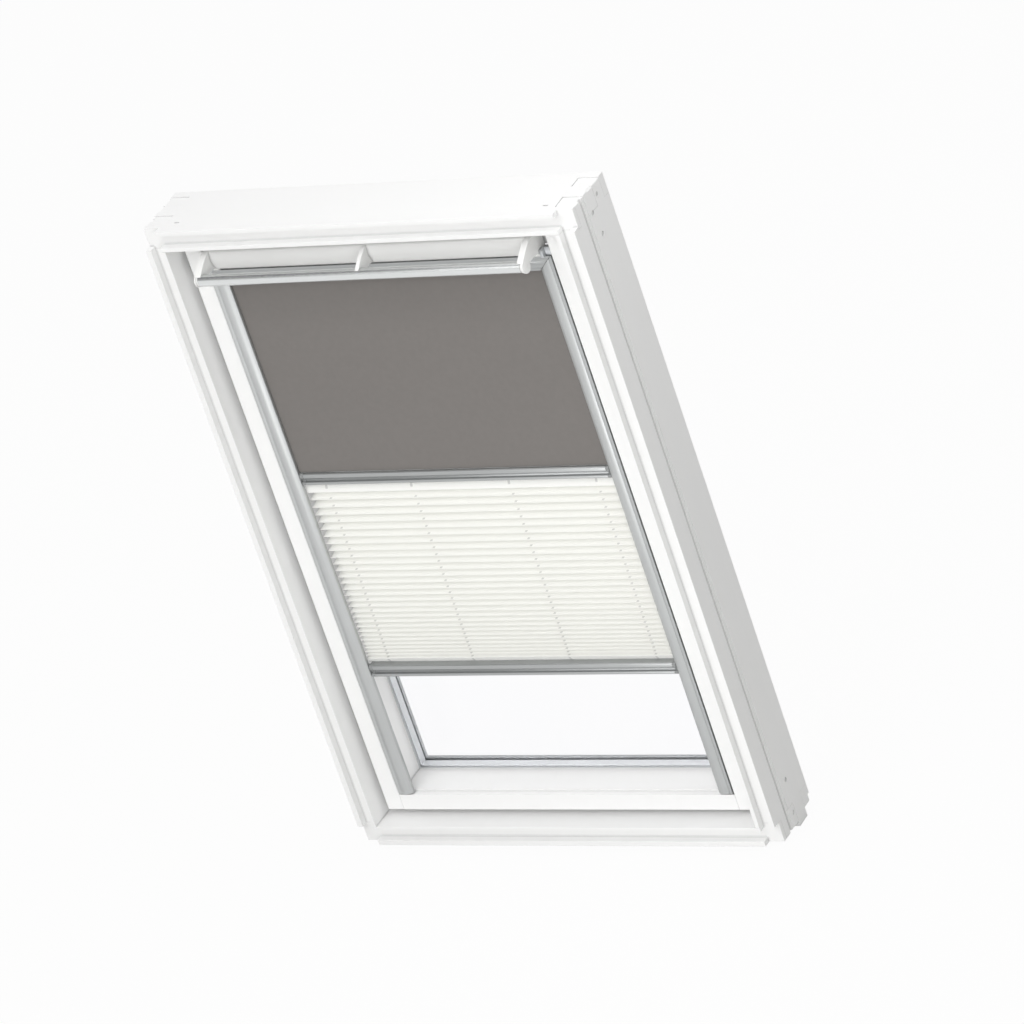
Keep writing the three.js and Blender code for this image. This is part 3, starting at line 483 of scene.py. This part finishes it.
    def _crevice_group(self) -> bpy.types.NodeTree:
        """A mask of painted shade in narrow grooves, joints and inner corners, found by ambient occlusion."""
        tree = bpy.data.node_groups.new("painted_crevice_shade", "ShaderNodeTree")
        tree.interface.new_socket("Reach", in_out="INPUT", socket_type="NodeSocketFloat")
        tree.interface.new_socket("Amount", in_out="INPUT", socket_type="NodeSocketFloat")
        tree.interface.new_socket("PaintedShade", in_out="OUTPUT", socket_type="NodeSocketFloat")
        source, sink = tree.nodes.new("NodeGroupInput"), tree.nodes.new("NodeGroupOutput")
        openness = tree.nodes.new("ShaderNodeAmbientOcclusion")
        openness.samples = 8
        tree.links.new(source.outputs["Reach"], openness.inputs["Distance"])
        shut = tree.nodes.new("ShaderNodeMapRange")
        shut.inputs["From Min"].default_value = self.crevice_open
        shut.inputs["From Max"].default_value = self.crevice_shut
        tree.links.new(openness.outputs["AO"], shut.inputs["Value"])
        tree.links.new(sum_of(tree, "MULTIPLY", shut.outputs["Result"], source.outputs["Amount"]),
                       sink.inputs["PaintedShade"])
        return tree

    def _with_painted_shade(self, tree: bpy.types.NodeTree, colour: bpy.types.NodeSocket,
                   amount: float) -> bpy.types.NodeSocket:
        """Paints shade into a finish's crevices.

        Args:
            tree: The material's nodes.
            colour: The socket with the finish's colour.
            amount: How much of the colour the painted shade takes away where a crevice is narrowest.

        Returns:
            The socket with the colour, with painted shade in its crevices.
        """
        shade_group = tree.nodes.new("ShaderNodeGroup")
        shade_group.node_tree = self.crevices
        shade_group.inputs["Reach"].default_value = self.crevice_reach
        shade_group.inputs["Amount"].default_value = amount
        mix = tree.nodes.new("ShaderNodeMix")
        mix.data_type = "RGBA"
        mix.inputs["B"].default_value = (0, 0, 0, 1)
        tree.links.new(colour, mix.inputs["A"])
        tree.links.new(shade_group.outputs["PaintedShade"], mix.inputs["Factor"])
        return mix.outputs["Result"]

    def _material(self, finish: Finish) -> bpy.types.Material:
        """Makes one material.

        Args:
            finish: What it looks like.

        Returns:
            The material.
        """
        material = bpy.data.materials.new(finish.slot)
        material.use_nodes = True
        tree = material.node_tree
        shader = tree.nodes["Principled BSDF"]
        shader.inputs["Metallic"].default_value = finish.metallic
        shader.inputs["Coat Weight"].default_value = finish.coat
        shader.inputs["Sheen Weight"].default_value = finish.sheen
        shader.inputs["Transmission Weight"].default_value = finish.transmission
        shader.inputs["IOR"].default_value = finish.refraction
        place = tree.nodes.new("ShaderNodeTexCoord")
        pattern = tree.nodes.new("ShaderNodeGroup")
        pattern.node_tree = self.groups[finish.pattern]
        pattern.inputs["Scale"].default_value = finish.scale
        tree.links.new(place.outputs["Object"], pattern.inputs["Place"])
        colours = tree.nodes.new("ShaderNodeMix")
        colours.data_type = "RGBA"
        colours.inputs["A"].default_value = (*finish.second, 1)
        colours.inputs["B"].default_value = (*finish.colour, 1)
        tree.links.new(pattern.outputs["Tone"], colours.inputs["Factor"])
        colour = colours.outputs["Result"]
        if finish.slot == "pleated_fabric":
            colour = self._with_cord_holes(tree, place, colour)
        # Painted shade: darkens the colour in narrow grooves, joints and inner corners.
        if finish.crevice:
            colour = self._with_painted_shade(tree, colour, finish.crevice)
        tree.links.new(colour, shader.inputs["Base Color"])
        # Painted light: the cloth glows by itself, lightening it and its folds in place of daylight through
        # it.
        if finish.glow:
            shader.inputs["Emission Strength"].default_value = finish.glow
            tree.links.new(colour, shader.inputs["Emission Color"])
        if finish.roughness_play:
            play = tree.nodes.new("ShaderNodeMapRange")
            play.inputs["To Min"].default_value = finish.roughness - finish.roughness_play
            play.inputs["To Max"].default_value = finish.roughness + finish.roughness_play
            tree.links.new(pattern.outputs["Tone"], play.inputs["Value"])
            tree.links.new(play.outputs["Result"], shader.inputs["Roughness"])
        else:
            shader.inputs["Roughness"].default_value = finish.roughness
        if finish.relief:
            bump = tree.nodes.new("ShaderNodeBump")
            bump.inputs["Distance"].default_value = finish.relief
            tree.links.new(pattern.outputs["Height"], bump.inputs["Height"])
            tree.links.new(bump.outputs["Normal"], shader.inputs["Normal"])
        return material

    def _with_cord_holes(self, tree: bpy.types.NodeTree, place: bpy.types.Node,
                         colour: bpy.types.NodeSocket) -> bpy.types.NodeSocket:
        """Darkens the small holes through which the tension cords run.

        Args:
            tree: The material's nodes.
            place: Its texture coordinates.
            colour: The socket with the cloth's colour.

        Returns:
            The socket with the colour that the holes are in.
        """
        parts = tree.nodes.new("ShaderNodeSeparateXYZ")
        tree.links.new(place.outputs["Object"], parts.inputs[0])
        across = sum_of(tree, "ABSOLUTE", parts.outputs["X"], 0)
        columns = [self._near(tree, across, x, self.hole_half_width) for x in self.hole_columns]
        either = sum_of(tree, "MAXIMUM", columns[0], columns[1])
        deep = self._near(tree, parts.outputs["Y"], self.hole_depth, self.hole_half_length)
        mask = sum_of(tree, "MULTIPLY", either, deep)
        mix = tree.nodes.new("ShaderNodeMix")
        mix.data_type = "RGBA"
        mix.inputs["B"].default_value = (*self.hole_shade, 1)
        tree.links.new(colour, mix.inputs["A"])
        tree.links.new(mask, mix.inputs["Factor"])
        return mix.outputs["Result"]

    def _near(self, tree: bpy.types.NodeTree, value: bpy.types.NodeSocket, centre: float,
              reach: float) -> bpy.types.NodeSocket:
        """A mask that is 1 where a value lies close to a centre.

        Args:
            tree: The nodes to add it to.
            value: The value's socket.
            centre: The centre.
            reach: How far the mask reaches to either side.

        Returns:
            The socket with the mask.
        """
        gap = sum_of(tree, "ABSOLUTE", sum_of(tree, "SUBTRACT", value, centre), 0)
        return sum_of(tree, "LESS_THAN", gap, reach)


# ---------------------------------------------------------------- the window's sub-assemblies


@dataclass
class SubAssembly:
    """What every sub-assembly shares: its body, its paintbox and the pieces that it has made."""

    paint: Paintbox
    body: str
    pieces: list[bpy.types.Object] = field(default_factory=list)

    def slot_of(self, node: str) -> str:
        """The material slot that the record gives a node."""
        return next(s["material_slot"] for s in frame["record"]["subparts"] if s["node"] == node)

    def soften(self, node: str, radius: float, least_angle: float = 40, smooth_below: float = 0,
               segments: int = 3, finish: str | None = None) -> bpy.types.Object:
        """Replaces a node with a copy that has rounded arrises.

        Args:
            node: The node's name.
            radius: The arrises' rounding.
            least_angle: Edges flatter than this, in degrees, keep their line.
            smooth_below: Edges flatter than this, in degrees, are shaded smooth. 0 shades flat.
            segments: Faces in each rounding.
            finish: The finish, where it isn't the one that the record names.

        Returns:
            The new piece.
        """
        obj = copy_of(node)
        if radius:
            round_arrises(obj, radius, segments, least_angle)
        if smooth_below:
            smooth(obj, smooth_below)
        self.keep(obj, finish or self.slot_of(node), self.slot_of(node), node)
        return obj

    def keep(self, obj: bpy.types.Object, finish: str, slot: str, *nodes: str) -> None:
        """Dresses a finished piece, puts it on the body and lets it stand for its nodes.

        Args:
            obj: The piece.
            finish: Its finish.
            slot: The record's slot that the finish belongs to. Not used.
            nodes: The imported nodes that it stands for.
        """
        self.paint.dress(obj, finish)
        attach(obj, self.body)
        if nodes:
            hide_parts(*nodes)
        self.pieces.append(obj)
        log.info("piece %s, %d faces", obj.name, len(obj.data.polygons))


@dataclass
class WindowFrame(SubAssembly):
    """The fixed frame: four timber members, seals, outside covers and hardware."""

    arris: float = 0.45 * MM

    def build(self) -> None:
        """Makes the timber members and dresses the hidden pieces."""
        for node in ("frame_jamb_left", "frame_jamb_right", "frame_head", "frame_sill"):
            self.soften(node, self.arris)
        for side in ("left", "right", "top", "bottom"):
            self.soften(f"frame_cover_{side}", 0.5 * MM, segments=2)
        for node in ("frame_seal_upper", "frame_seal_lower"):
            self.soften(node, 1.5 * MM, smooth_below=35)
        for node in ("pivot_plate_left", "pivot_plate_right", "latch_striker"):
            self.soften(node, 0.5 * MM, segments=2)
        for node in ("bolt_bush_lower", "bolt_bush_upper"):
            self.soften(node, 0.2 * MM, segments=2, smooth_below=35)


@dataclass
class Sash(SubAssembly):
    """The turning sash with its glazing, covers and hardware."""

    arris: float = 1.2 * MM

    def build(self) -> None:
        """Makes the sash's timber, glass and metal pieces."""
        for node in ("sash_stile_left", "sash_stile_right", "sash_rail_top", "sash_rail_bottom"):
            self.soften(node, self.arris)
        for side in ("left", "right", "top", "bottom"):
            self.soften(f"sash_cover_{side}", 0.5 * MM, segments=2)
        for node in ("pivot_pin_left", "pivot_pin_right", "hinge_ear_left", "hinge_ear_right"):
            self.soften(node, 0.4 * MM, segments=2, smooth_below=35)
        self.soften("latch_case", 0.5 * MM, segments=2)
        for node in ("glass_inner_pane", "glass_outer_pane"):
            self.soften(node, 0.4 * MM, segments=1)
        self.soften("glass_spacer", 0.3 * MM, segments=1, finish="spacer_steel")
        self.soften("glazing_gasket", 0.8 * MM, segments=2, finish="pale_rubber")


@dataclass
class MovingHardware(SubAssembly):
    """A small metal piece that has a body of its own."""

    node: str = ""

    def build(self) -> None:
        """Makes the piece."""
        self.soften(self.node, 0.4 * MM, segments=2, smooth_below=35)


@dataclass
class ControlBar(SubAssembly):
    """The oval bar with its caps and brackets, and the ventilation flap behind it."""

    facets: int = 64
    long_half: float = 11.7 * MM
    short_half: float = 9.6 * MM
    lean: float = 0.097
    end_rim: float = 0.8 * MM
    end_recess: float = 1.5 * MM

    def build(self) -> None:
        """Makes the bar anew and softens the mouldings."""
        self._bar()
        for side in ("left", "right"):
            self.soften(f"control_bar_cap_{side}", 0.5 * MM, segments=2, smooth_below=35)
            self.soften(f"bar_bracket_{side}", 0.9 * MM, least_angle=45, smooth_below=44)
        self.soften("bar_bracket_middle", 0.9 * MM, least_angle=45, smooth_below=44)
        self.soften("vent_flap", 0.5 * MM, least_angle=50, smooth_below=48)

    def _bar(self) -> None:
        """Makes the bar from a cylinder: a leaning oval with its ends turned in."""
        low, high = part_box("control_bar")
        middle, length = (low + high) / 2, high.x - low.x
        bpy.ops.object.select_all(action="DESELECT")
        bpy.ops.mesh.primitive_cylinder_add(vertices=self.facets, radius=1, depth=1)
        bar = bpy.context.active_object
        bar.name = "control_bar_piece"
        rise = 2 * math.pi * self.lean
        across = Vector((0, -math.sin(rise), -math.cos(rise)))
        along = Vector((0, math.cos(rise), -math.sin(rise)))
        turn = Matrix((across, along, Vector((1, 0, 0)))).transposed().to_4x4()
        sizes = Matrix.Diagonal((self.short_half, self.long_half, length, 1))
        bar.data.transform(Matrix.Translation(middle) @ turn @ sizes)
        settle(bar)
        bpy.ops.object.mode_set(mode="EDIT")
        bpy.ops.mesh.select_mode(type="FACE")
        bpy.ops.mesh.select_all(action="SELECT")
        bpy.ops.mesh.normals_make_consistent(inside=False)
        bpy.ops.mesh.select_all(action="DESELECT")
        bpy.ops.object.mode_set(mode="OBJECT")
        for polygon in bar.data.polygons:
            polygon.select = abs(polygon.normal.x) > 0.9
        bpy.ops.object.mode_set(mode="EDIT")
        bpy.ops.mesh.inset(thickness=self.end_rim, use_individual=True)
        bpy.ops.mesh.inset(thickness=self.end_rim, depth=-self.end_recess, use_individual=True)
        bpy.ops.object.mode_set(mode="OBJECT")
        smooth(bar, 35)
        self.keep(bar, "bar_aluminium", self.slot_of("control_bar"), "control_bar")


@dataclass
class BlindHousing(SubAssembly):
    """The casing across the top and the two side rails."""

    def build(self) -> None:
        """Softens the drawn metal and the end caps."""
        self.soften("blind_casing", 0.3 * MM, segments=2)
        for side in ("left", "right"):
            self.soften(f"side_rail_{side}", 0.3 * MM, least_angle=50, smooth_below=32, segments=2,
                        finish="rail_aluminium")
            self.soften(f"casing_cap_{side}", 0.5 * MM, segments=2, smooth_below=35)


@dataclass
class Roller(SubAssembly):
    """The roller in the casing with the cloth that is wound on it."""

    def build(self) -> None:
        """Softens the turned pieces."""
        for node in ("roller_tube", "roller_cloth", "roller_spring", "roller_plug_left", "roller_plug_right"):
            self.soften(node, 0.2 * MM, segments=1, smooth_below=35)


@dataclass
class GripBar(SubAssembly):
    """One of the two grip bars, with its end caps and glides."""

    def build(self) -> None:
        """Softens the bar and its glides."""
        self.soften(self.body, 0.35 * MM, least_angle=45, smooth_below=30, segments=2)
        for side in ("left", "right"):
            self.soften(f"{self.body}_glide_{side}", 0.5 * MM, least_angle=45, smooth_below=30, segments=2)


@dataclass
class BlackoutCloth(SubAssembly):
    """The cloth that hangs from the roller to the upper grip bar."""

    columns: int = 24
    rows: int = 16
    sag: float = 0.15 * MM

    def build(self) -> None:
        """Makes the sheet and thickens it."""
        low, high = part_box("blackout_cloth")
        width, height = high.x - low.x, high.z - low.z
        bpy.ops.object.select_all(action="DESELECT")
        bpy.ops.mesh.primitive_grid_add(x_subdivisions=self.columns, y_subdivisions=self.rows, size=1,
                                        location=(low + high) / 2, rotation=(math.pi / 2, 0, 0))
        cloth = bpy.context.active_object
        cloth.name = "blackout_cloth_piece"
        cloth.scale = (width, height, 1)
        settle(cloth)
        middle = (low + high) / 2
        for vertex in cloth.data.vertices:
            across = (vertex.co.x - middle.x) / width * 2
            down = (high.z - vertex.co.z) / height
            vertex.co.y = middle.y + self.sag * (1 - across**2) * math.sin(down * math.pi)
        thickness = cloth.modifiers.new("thickness", "SOLIDIFY")
        thickness.thickness = high.y - low.y - 2 * self.sag
        thickness.offset = 0
        apply_modifiers(cloth)
        smooth(cloth, 35)
        self.paint.dress(cloth, "blackout_fabric")
        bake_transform(cloth)
        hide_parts("blackout_cloth")
        self.pieces.append(cloth)
        log.info("piece %s, %d faces", cloth.name, len(cloth.data.polygons))


@dataclass
class PleatedCloth(SubAssembly):
    """The white pleated cloth between the two grip bars.

    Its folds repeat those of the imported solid: they close from the top to the bottom, and every
    back fold droops towards the front fold below it.
    """

    folds: int = 30
    first_share: float = 1.2
    last_share: float = 0.7
    droop_share: float = 0.58
    droop_power: float = 1.54
    sag_share: float = 0.2
    thickness: float = 0.4 * MM
    front_margin: float = 1.3 * MM
    edge_depth: float = 36 * MM
    columns: int = 40

    def build(self) -> None:
        """Makes the sheet and ties it to both bars."""
        low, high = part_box("pleated_cloth")
        path = self._fold_path(low, high)
        verts = []
        faces = []
        width = high.x - low.x
        for y, z in path:
            verts.extend((low.x + width * i / self.columns, y, z) for i in range(self.columns + 1))
        stride = self.columns + 1
        for row in range(len(path) - 1):
            for i in range(self.columns):
                a = row * stride + i
                faces.append((a, a + stride, a + stride + 1, a + 1))
        mesh = bpy.data.meshes.new("pleated_cloth_piece")
        mesh.from_pydata(verts, [], faces)
        cloth = bpy.data.objects.new("pleated_cloth_piece", mesh)
        bpy.context.scene.collection.objects.link(cloth)
        solidify = cloth.modifiers.new("thickness", "SOLIDIFY")
        solidify.thickness = self.thickness
        solidify.offset = 0
        apply_modifiers(cloth)
        self._tie(cloth, low.z, high.z)
        self.keep(cloth, "pleated_fabric", "pleated_fabric", "pleated_cloth")

    def _fold_path(self, low: Vector, high: Vector) -> list[tuple[float, float]]:
        """The zigzag that the cloth follows, seen from its end.

        Args:
            low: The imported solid's lowest corner.
            high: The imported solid's highest corner.

        Returns:
            The folds as (y, z) points, from the upper bar down.
        """
        steps = [self.first_share]
        steps += [1 - self.droop_share * (i / (self.folds - 1)) ** self.droop_power
                  for i in range(1, self.folds)]
        unit = (high.z - low.z) / (sum(steps) + self.last_share)
        front, back = low.y + self.front_margin, high.y - self.front_margin
        path = [(self.edge_depth, high.z)]
        level = high.z
        for i, step in enumerate(steps):
            lower = level - step * unit
            if i:
                path.append((back, lower + self.sag_share * (level - lower)))
            path.append((front, lower))
            level = lower
        path.append((self.edge_depth, low.z))
        return path

    def _tie(self, cloth: bpy.types.Object, low: float, high: float) -> None:
        """Hooks the cloth to the bars, so that its folds share out the way between them.

        Args:
            cloth: The cloth.
            low: Its lower edge's height.
            high: Its upper edge's height.
        """
        ties = {"upper_bar": lambda share: share, "lower_bar": lambda share: 1 - share}
        for body, weight in ties.items():
            group = cloth.vertex_groups.new(name=f"follows_{body}")
            for vertex in cloth.data.vertices:
                share = min(max((vertex.co.z - low) / (high - low), 0), 1)
                group.add([vertex.index], weight(share), "REPLACE")
            hook = cloth.modifiers.new(f"tie_{body}", "HOOK")
            hook.object = frame["bodies"][body]
            hook.vertex_group = group.name
            hook.falloff_type = "NONE"
            hook.matrix_inverse = Matrix.Identity(4)


# ---------------------------------------------------------------- studio


@dataclass(frozen=True)
class Lamp:
    """A soft lamp: where it stands, what it points at, its face's width and height, and its watts."""

    name: str
    place: Triple
    aim: Triple
    face: tuple[float, float]
    power: float


LAMPS = (
    Lamp("key", (-0.3, -2.9, 3.6), (0, 0, 0.6), (3.0, 3.0), 75.0),
    Lamp("overhead", (0.0, 0.3, 3.2), (0, 0.05, 1.0), (2.0, 2.0), 16.0),
    Lamp("right_side", (1.3, 0.0, 2.0), (0.39, 0.05, 0.9), (0.7, 0.7), 4.2),
    Lamp("right_front", (2.0, -2.5, 1.2), (0.2, 0, 0.6), (1.0, 1.0), 15.0),
    Lamp("low_front", (0.3, -1.6, 0.15), (0, 0.05, 0.3), (0.5, 0.5), 5.8),
)


@dataclass
class Studio:
    """The camera, the lamps, the world and the floor."""

    picture: int = 1024
    focal_pixels: float = 7371.207
    sensor: float = 36.0
    camera_place: Triple = (5.99738, -8.43276, 6.00558)
    right: Triple = (0.86109636, 0.41640995, -0.29174615)
    down: Triple = (-0.01926378, -0.54667271, -0.83712475)
    ahead: Triple = (-0.50807673, 0.72646521, -0.46271625)
    ambient: float = 0.4
    ceiling_level: float = 0.16
    daylight_opening: tuple[float, float] = (0.6, 0.2)
    daylight_depth: float = 88 * MM
    daylight_height: float = 0.19
    daylight_power: float = 0.2
    floor_height: float = -11 * MM
    floor_size: float = 40.0
    floor_colour: Colour = screen(205, 205, 203)
    floor_glow: float = 0.965
    ceiling_from: float = 0.1
    ceiling_full: float = 0.45

    def build(self) -> None:
        """Sets the whole studio up."""
        self._camera()
        self._world()
        self._floor()
        for lamp in LAMPS:
            self._lamp(lamp)
        self._daylight()
        bpy.context.scene.view_settings.view_transform = "Standard"
        log.info("studio ready")

    def _camera(self) -> None:
        """Puts the camera where the photograph was taken from."""
        data = bpy.data.cameras.new("photograph")
        data.sensor_width = self.sensor
        data.lens = self.focal_pixels / self.picture * self.sensor
        data.clip_end = 100
        camera = bpy.data.objects.new("photograph", data)
        bpy.context.scene.collection.objects.link(camera)
        right, down, ahead = Vector(self.right), Vector(self.down), Vector(self.ahead)
        turn = Matrix((right, -down, -ahead)).transposed().to_4x4()
        camera.matrix_world = Matrix.Translation(self.camera_place) @ turn
        bpy.context.scene.camera = camera

    @staticmethod
    def _lamp(lamp: Lamp) -> bpy.types.Object:
        """Adds a lamp to the scene.

        Args:
            lamp: Its place, aim, face and power.

        Returns:
            The lamp's object.
        """
        data = bpy.data.lights.new(lamp.name, "AREA")
        data.shape = "RECTANGLE"
        data.size, data.size_y = lamp.face
        data.energy = lamp.power
        obj = bpy.data.objects.new(lamp.name, data)
        bpy.context.scene.collection.objects.link(obj)
        obj.location = lamp.place
        obj.rotation_euler = (Vector(lamp.aim) - Vector(lamp.place)).to_track_quat("-Z", "Y").to_euler()
        return obj

    def _daylight(self) -> None:
        """Lets the light through the panes, where the renderer stops it, as a lamp just inside the glass."""
        depth, height = self.daylight_depth, self.daylight_height
        lamp = self._lamp(Lamp("daylight", (0, depth, height), (0, -1, height), self.daylight_opening,
                               self.daylight_power))
        lamp.visible_camera = lamp.visible_glossy = lamp.visible_transmission = False
        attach(lamp, "sash")

    def _seen(self, tree: bpy.types.NodeTree) -> bpy.types.NodeSocket:
        """A mask of the rays that should meet a white studio: camera, glossy and transmission.

        Args:
            tree: The node tree to add it to.

        Returns:
            The socket with the mask.
        """
        path = tree.nodes.new("ShaderNodeLightPath")
        mask = sum_of(tree, "MAXIMUM", path.outputs["Is Camera Ray"], path.outputs["Is Transmission Ray"])
        return sum_of(tree, "MAXIMUM", mask, path.outputs["Is Glossy Ray"])

    def _below_ceiling(self, tree: bpy.types.NodeTree) -> bpy.types.NodeSocket:
        """The white that glossy rays meet: all of it at the walls and the floor, little at the ceiling.

        Args:
            tree: The world's nodes.

        Returns:
            The socket with the level.
        """
        place = tree.nodes.new("ShaderNodeTexCoord")
        parts = tree.nodes.new("ShaderNodeSeparateXYZ")
        tree.links.new(place.outputs["Generated"], parts.inputs[0])
        fall = tree.nodes.new("ShaderNodeMapRange")
        fall.inputs["From Min"].default_value = self.ceiling_from
        fall.inputs["From Max"].default_value = self.ceiling_full
        fall.inputs["To Min"].default_value = 1
        fall.inputs["To Max"].default_value = self.ceiling_level
        tree.links.new(parts.outputs["Z"], fall.inputs["Value"])
        return fall.outputs["Result"]

    def _world(self) -> None:
        """Lights the object evenly and shows white behind it."""
        world = bpy.data.worlds.new("studio")
        world.use_nodes = True
        tree = world.node_tree
        studio = tree.nodes["Background"]
        studio.inputs["Color"].default_value = (1, 1, 1, 1)
        path = tree.nodes.new("ShaderNodeLightPath")
        level = self._between(tree, path.outputs["Is Glossy Ray"], self.ambient, self._below_ceiling(tree))
        white = sum_of(tree, "MAXIMUM", path.outputs["Is Camera Ray"], path.outputs["Is Transmission Ray"])
        tree.links.new(self._between(tree, white, level, 1.0), studio.inputs["Strength"])
        bpy.context.scene.world = world

    @staticmethod
    def _between(tree: bpy.types.NodeTree, share: bpy.types.NodeSocket, first: float | bpy.types.NodeSocket,
                 second: float | bpy.types.NodeSocket) -> bpy.types.NodeSocket:
        """Adds a mix of two values.

        Args:
            tree: The node tree to add it to.
            share: How much of the second value there is.
            first: The value at 0, or its socket.
            second: The value at 1, or its socket.

        Returns:
            The socket with the mix.
        """
        node = tree.nodes.new("ShaderNodeMix")
        tree.links.new(share, node.inputs[0])
        for value, socket in ((first, node.inputs[2]), (second, node.inputs[3])):
            if isinstance(value, bpy.types.NodeSocket):
                tree.links.new(value, socket)
            else:
                socket.default_value = value
        return node.outputs[0]

    def _floor(self) -> None:
        """Lays a pale floor that keeps a faint shadow."""
        bpy.ops.object.select_all(action="DESELECT")
        bpy.ops.mesh.primitive_plane_add(size=self.floor_size, location=(0, 0, self.floor_height))
        floor = bpy.context.active_object
        floor.name = "studio_floor"
        material = bpy.data.materials.new("studio_floor")
        material.use_nodes = True
        tree = material.node_tree
        tree.nodes.remove(tree.nodes["Principled BSDF"])
        matt = tree.nodes.new("ShaderNodeBsdfDiffuse")
        matt.inputs["Color"].default_value = (*self.floor_colour, 1)
        glow = tree.nodes.new("ShaderNodeEmission")
        mix = tree.nodes.new("ShaderNodeMixShader")
        share = tree.nodes.new("ShaderNodeMath")
        share.operation = "MULTIPLY"
        share.inputs[1].default_value = self.floor_glow
        tree.links.new(self._seen(tree), share.inputs[0])
        tree.links.new(share.outputs[0], mix.inputs["Fac"])
        tree.links.new(matt.outputs[0], mix.inputs[1])
        tree.links.new(glow.outputs[0], mix.inputs[2])
        tree.links.new(mix.outputs[0], tree.nodes["Material Output"].inputs["Surface"])
        floor.data.materials.append(material)


def main() -> None:
    """Builds every sub-assembly and the studio."""
    logging.basicConfig(level=logging.INFO, format="%(message)s")
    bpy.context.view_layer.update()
    paint = Paintbox()
    paint.build()
    assemblies = (
        WindowFrame(paint, "frame"),
        Sash(paint, "sash"),
        MovingHardware(paint, "latch_bolt", node="latch_bolt"),
        MovingHardware(paint, "barrel_bolt", node="barrel_bolt"),
        ControlBar(paint, "control_bar"),
        BlindHousing(paint, "sash"),
        Roller(paint, "roller"),
        GripBar(paint, "upper_bar"),
        GripBar(paint, "lower_bar"),
        BlackoutCloth(paint, "sash"),
        PleatedCloth(paint, "sash"),
    )
    for assembly in assemblies:
        assembly.build()
        log.info("%s: %d pieces", type(assembly).__name__, len(assembly.pieces))
    Studio().build()


if __name__ == "__main__":
    main()
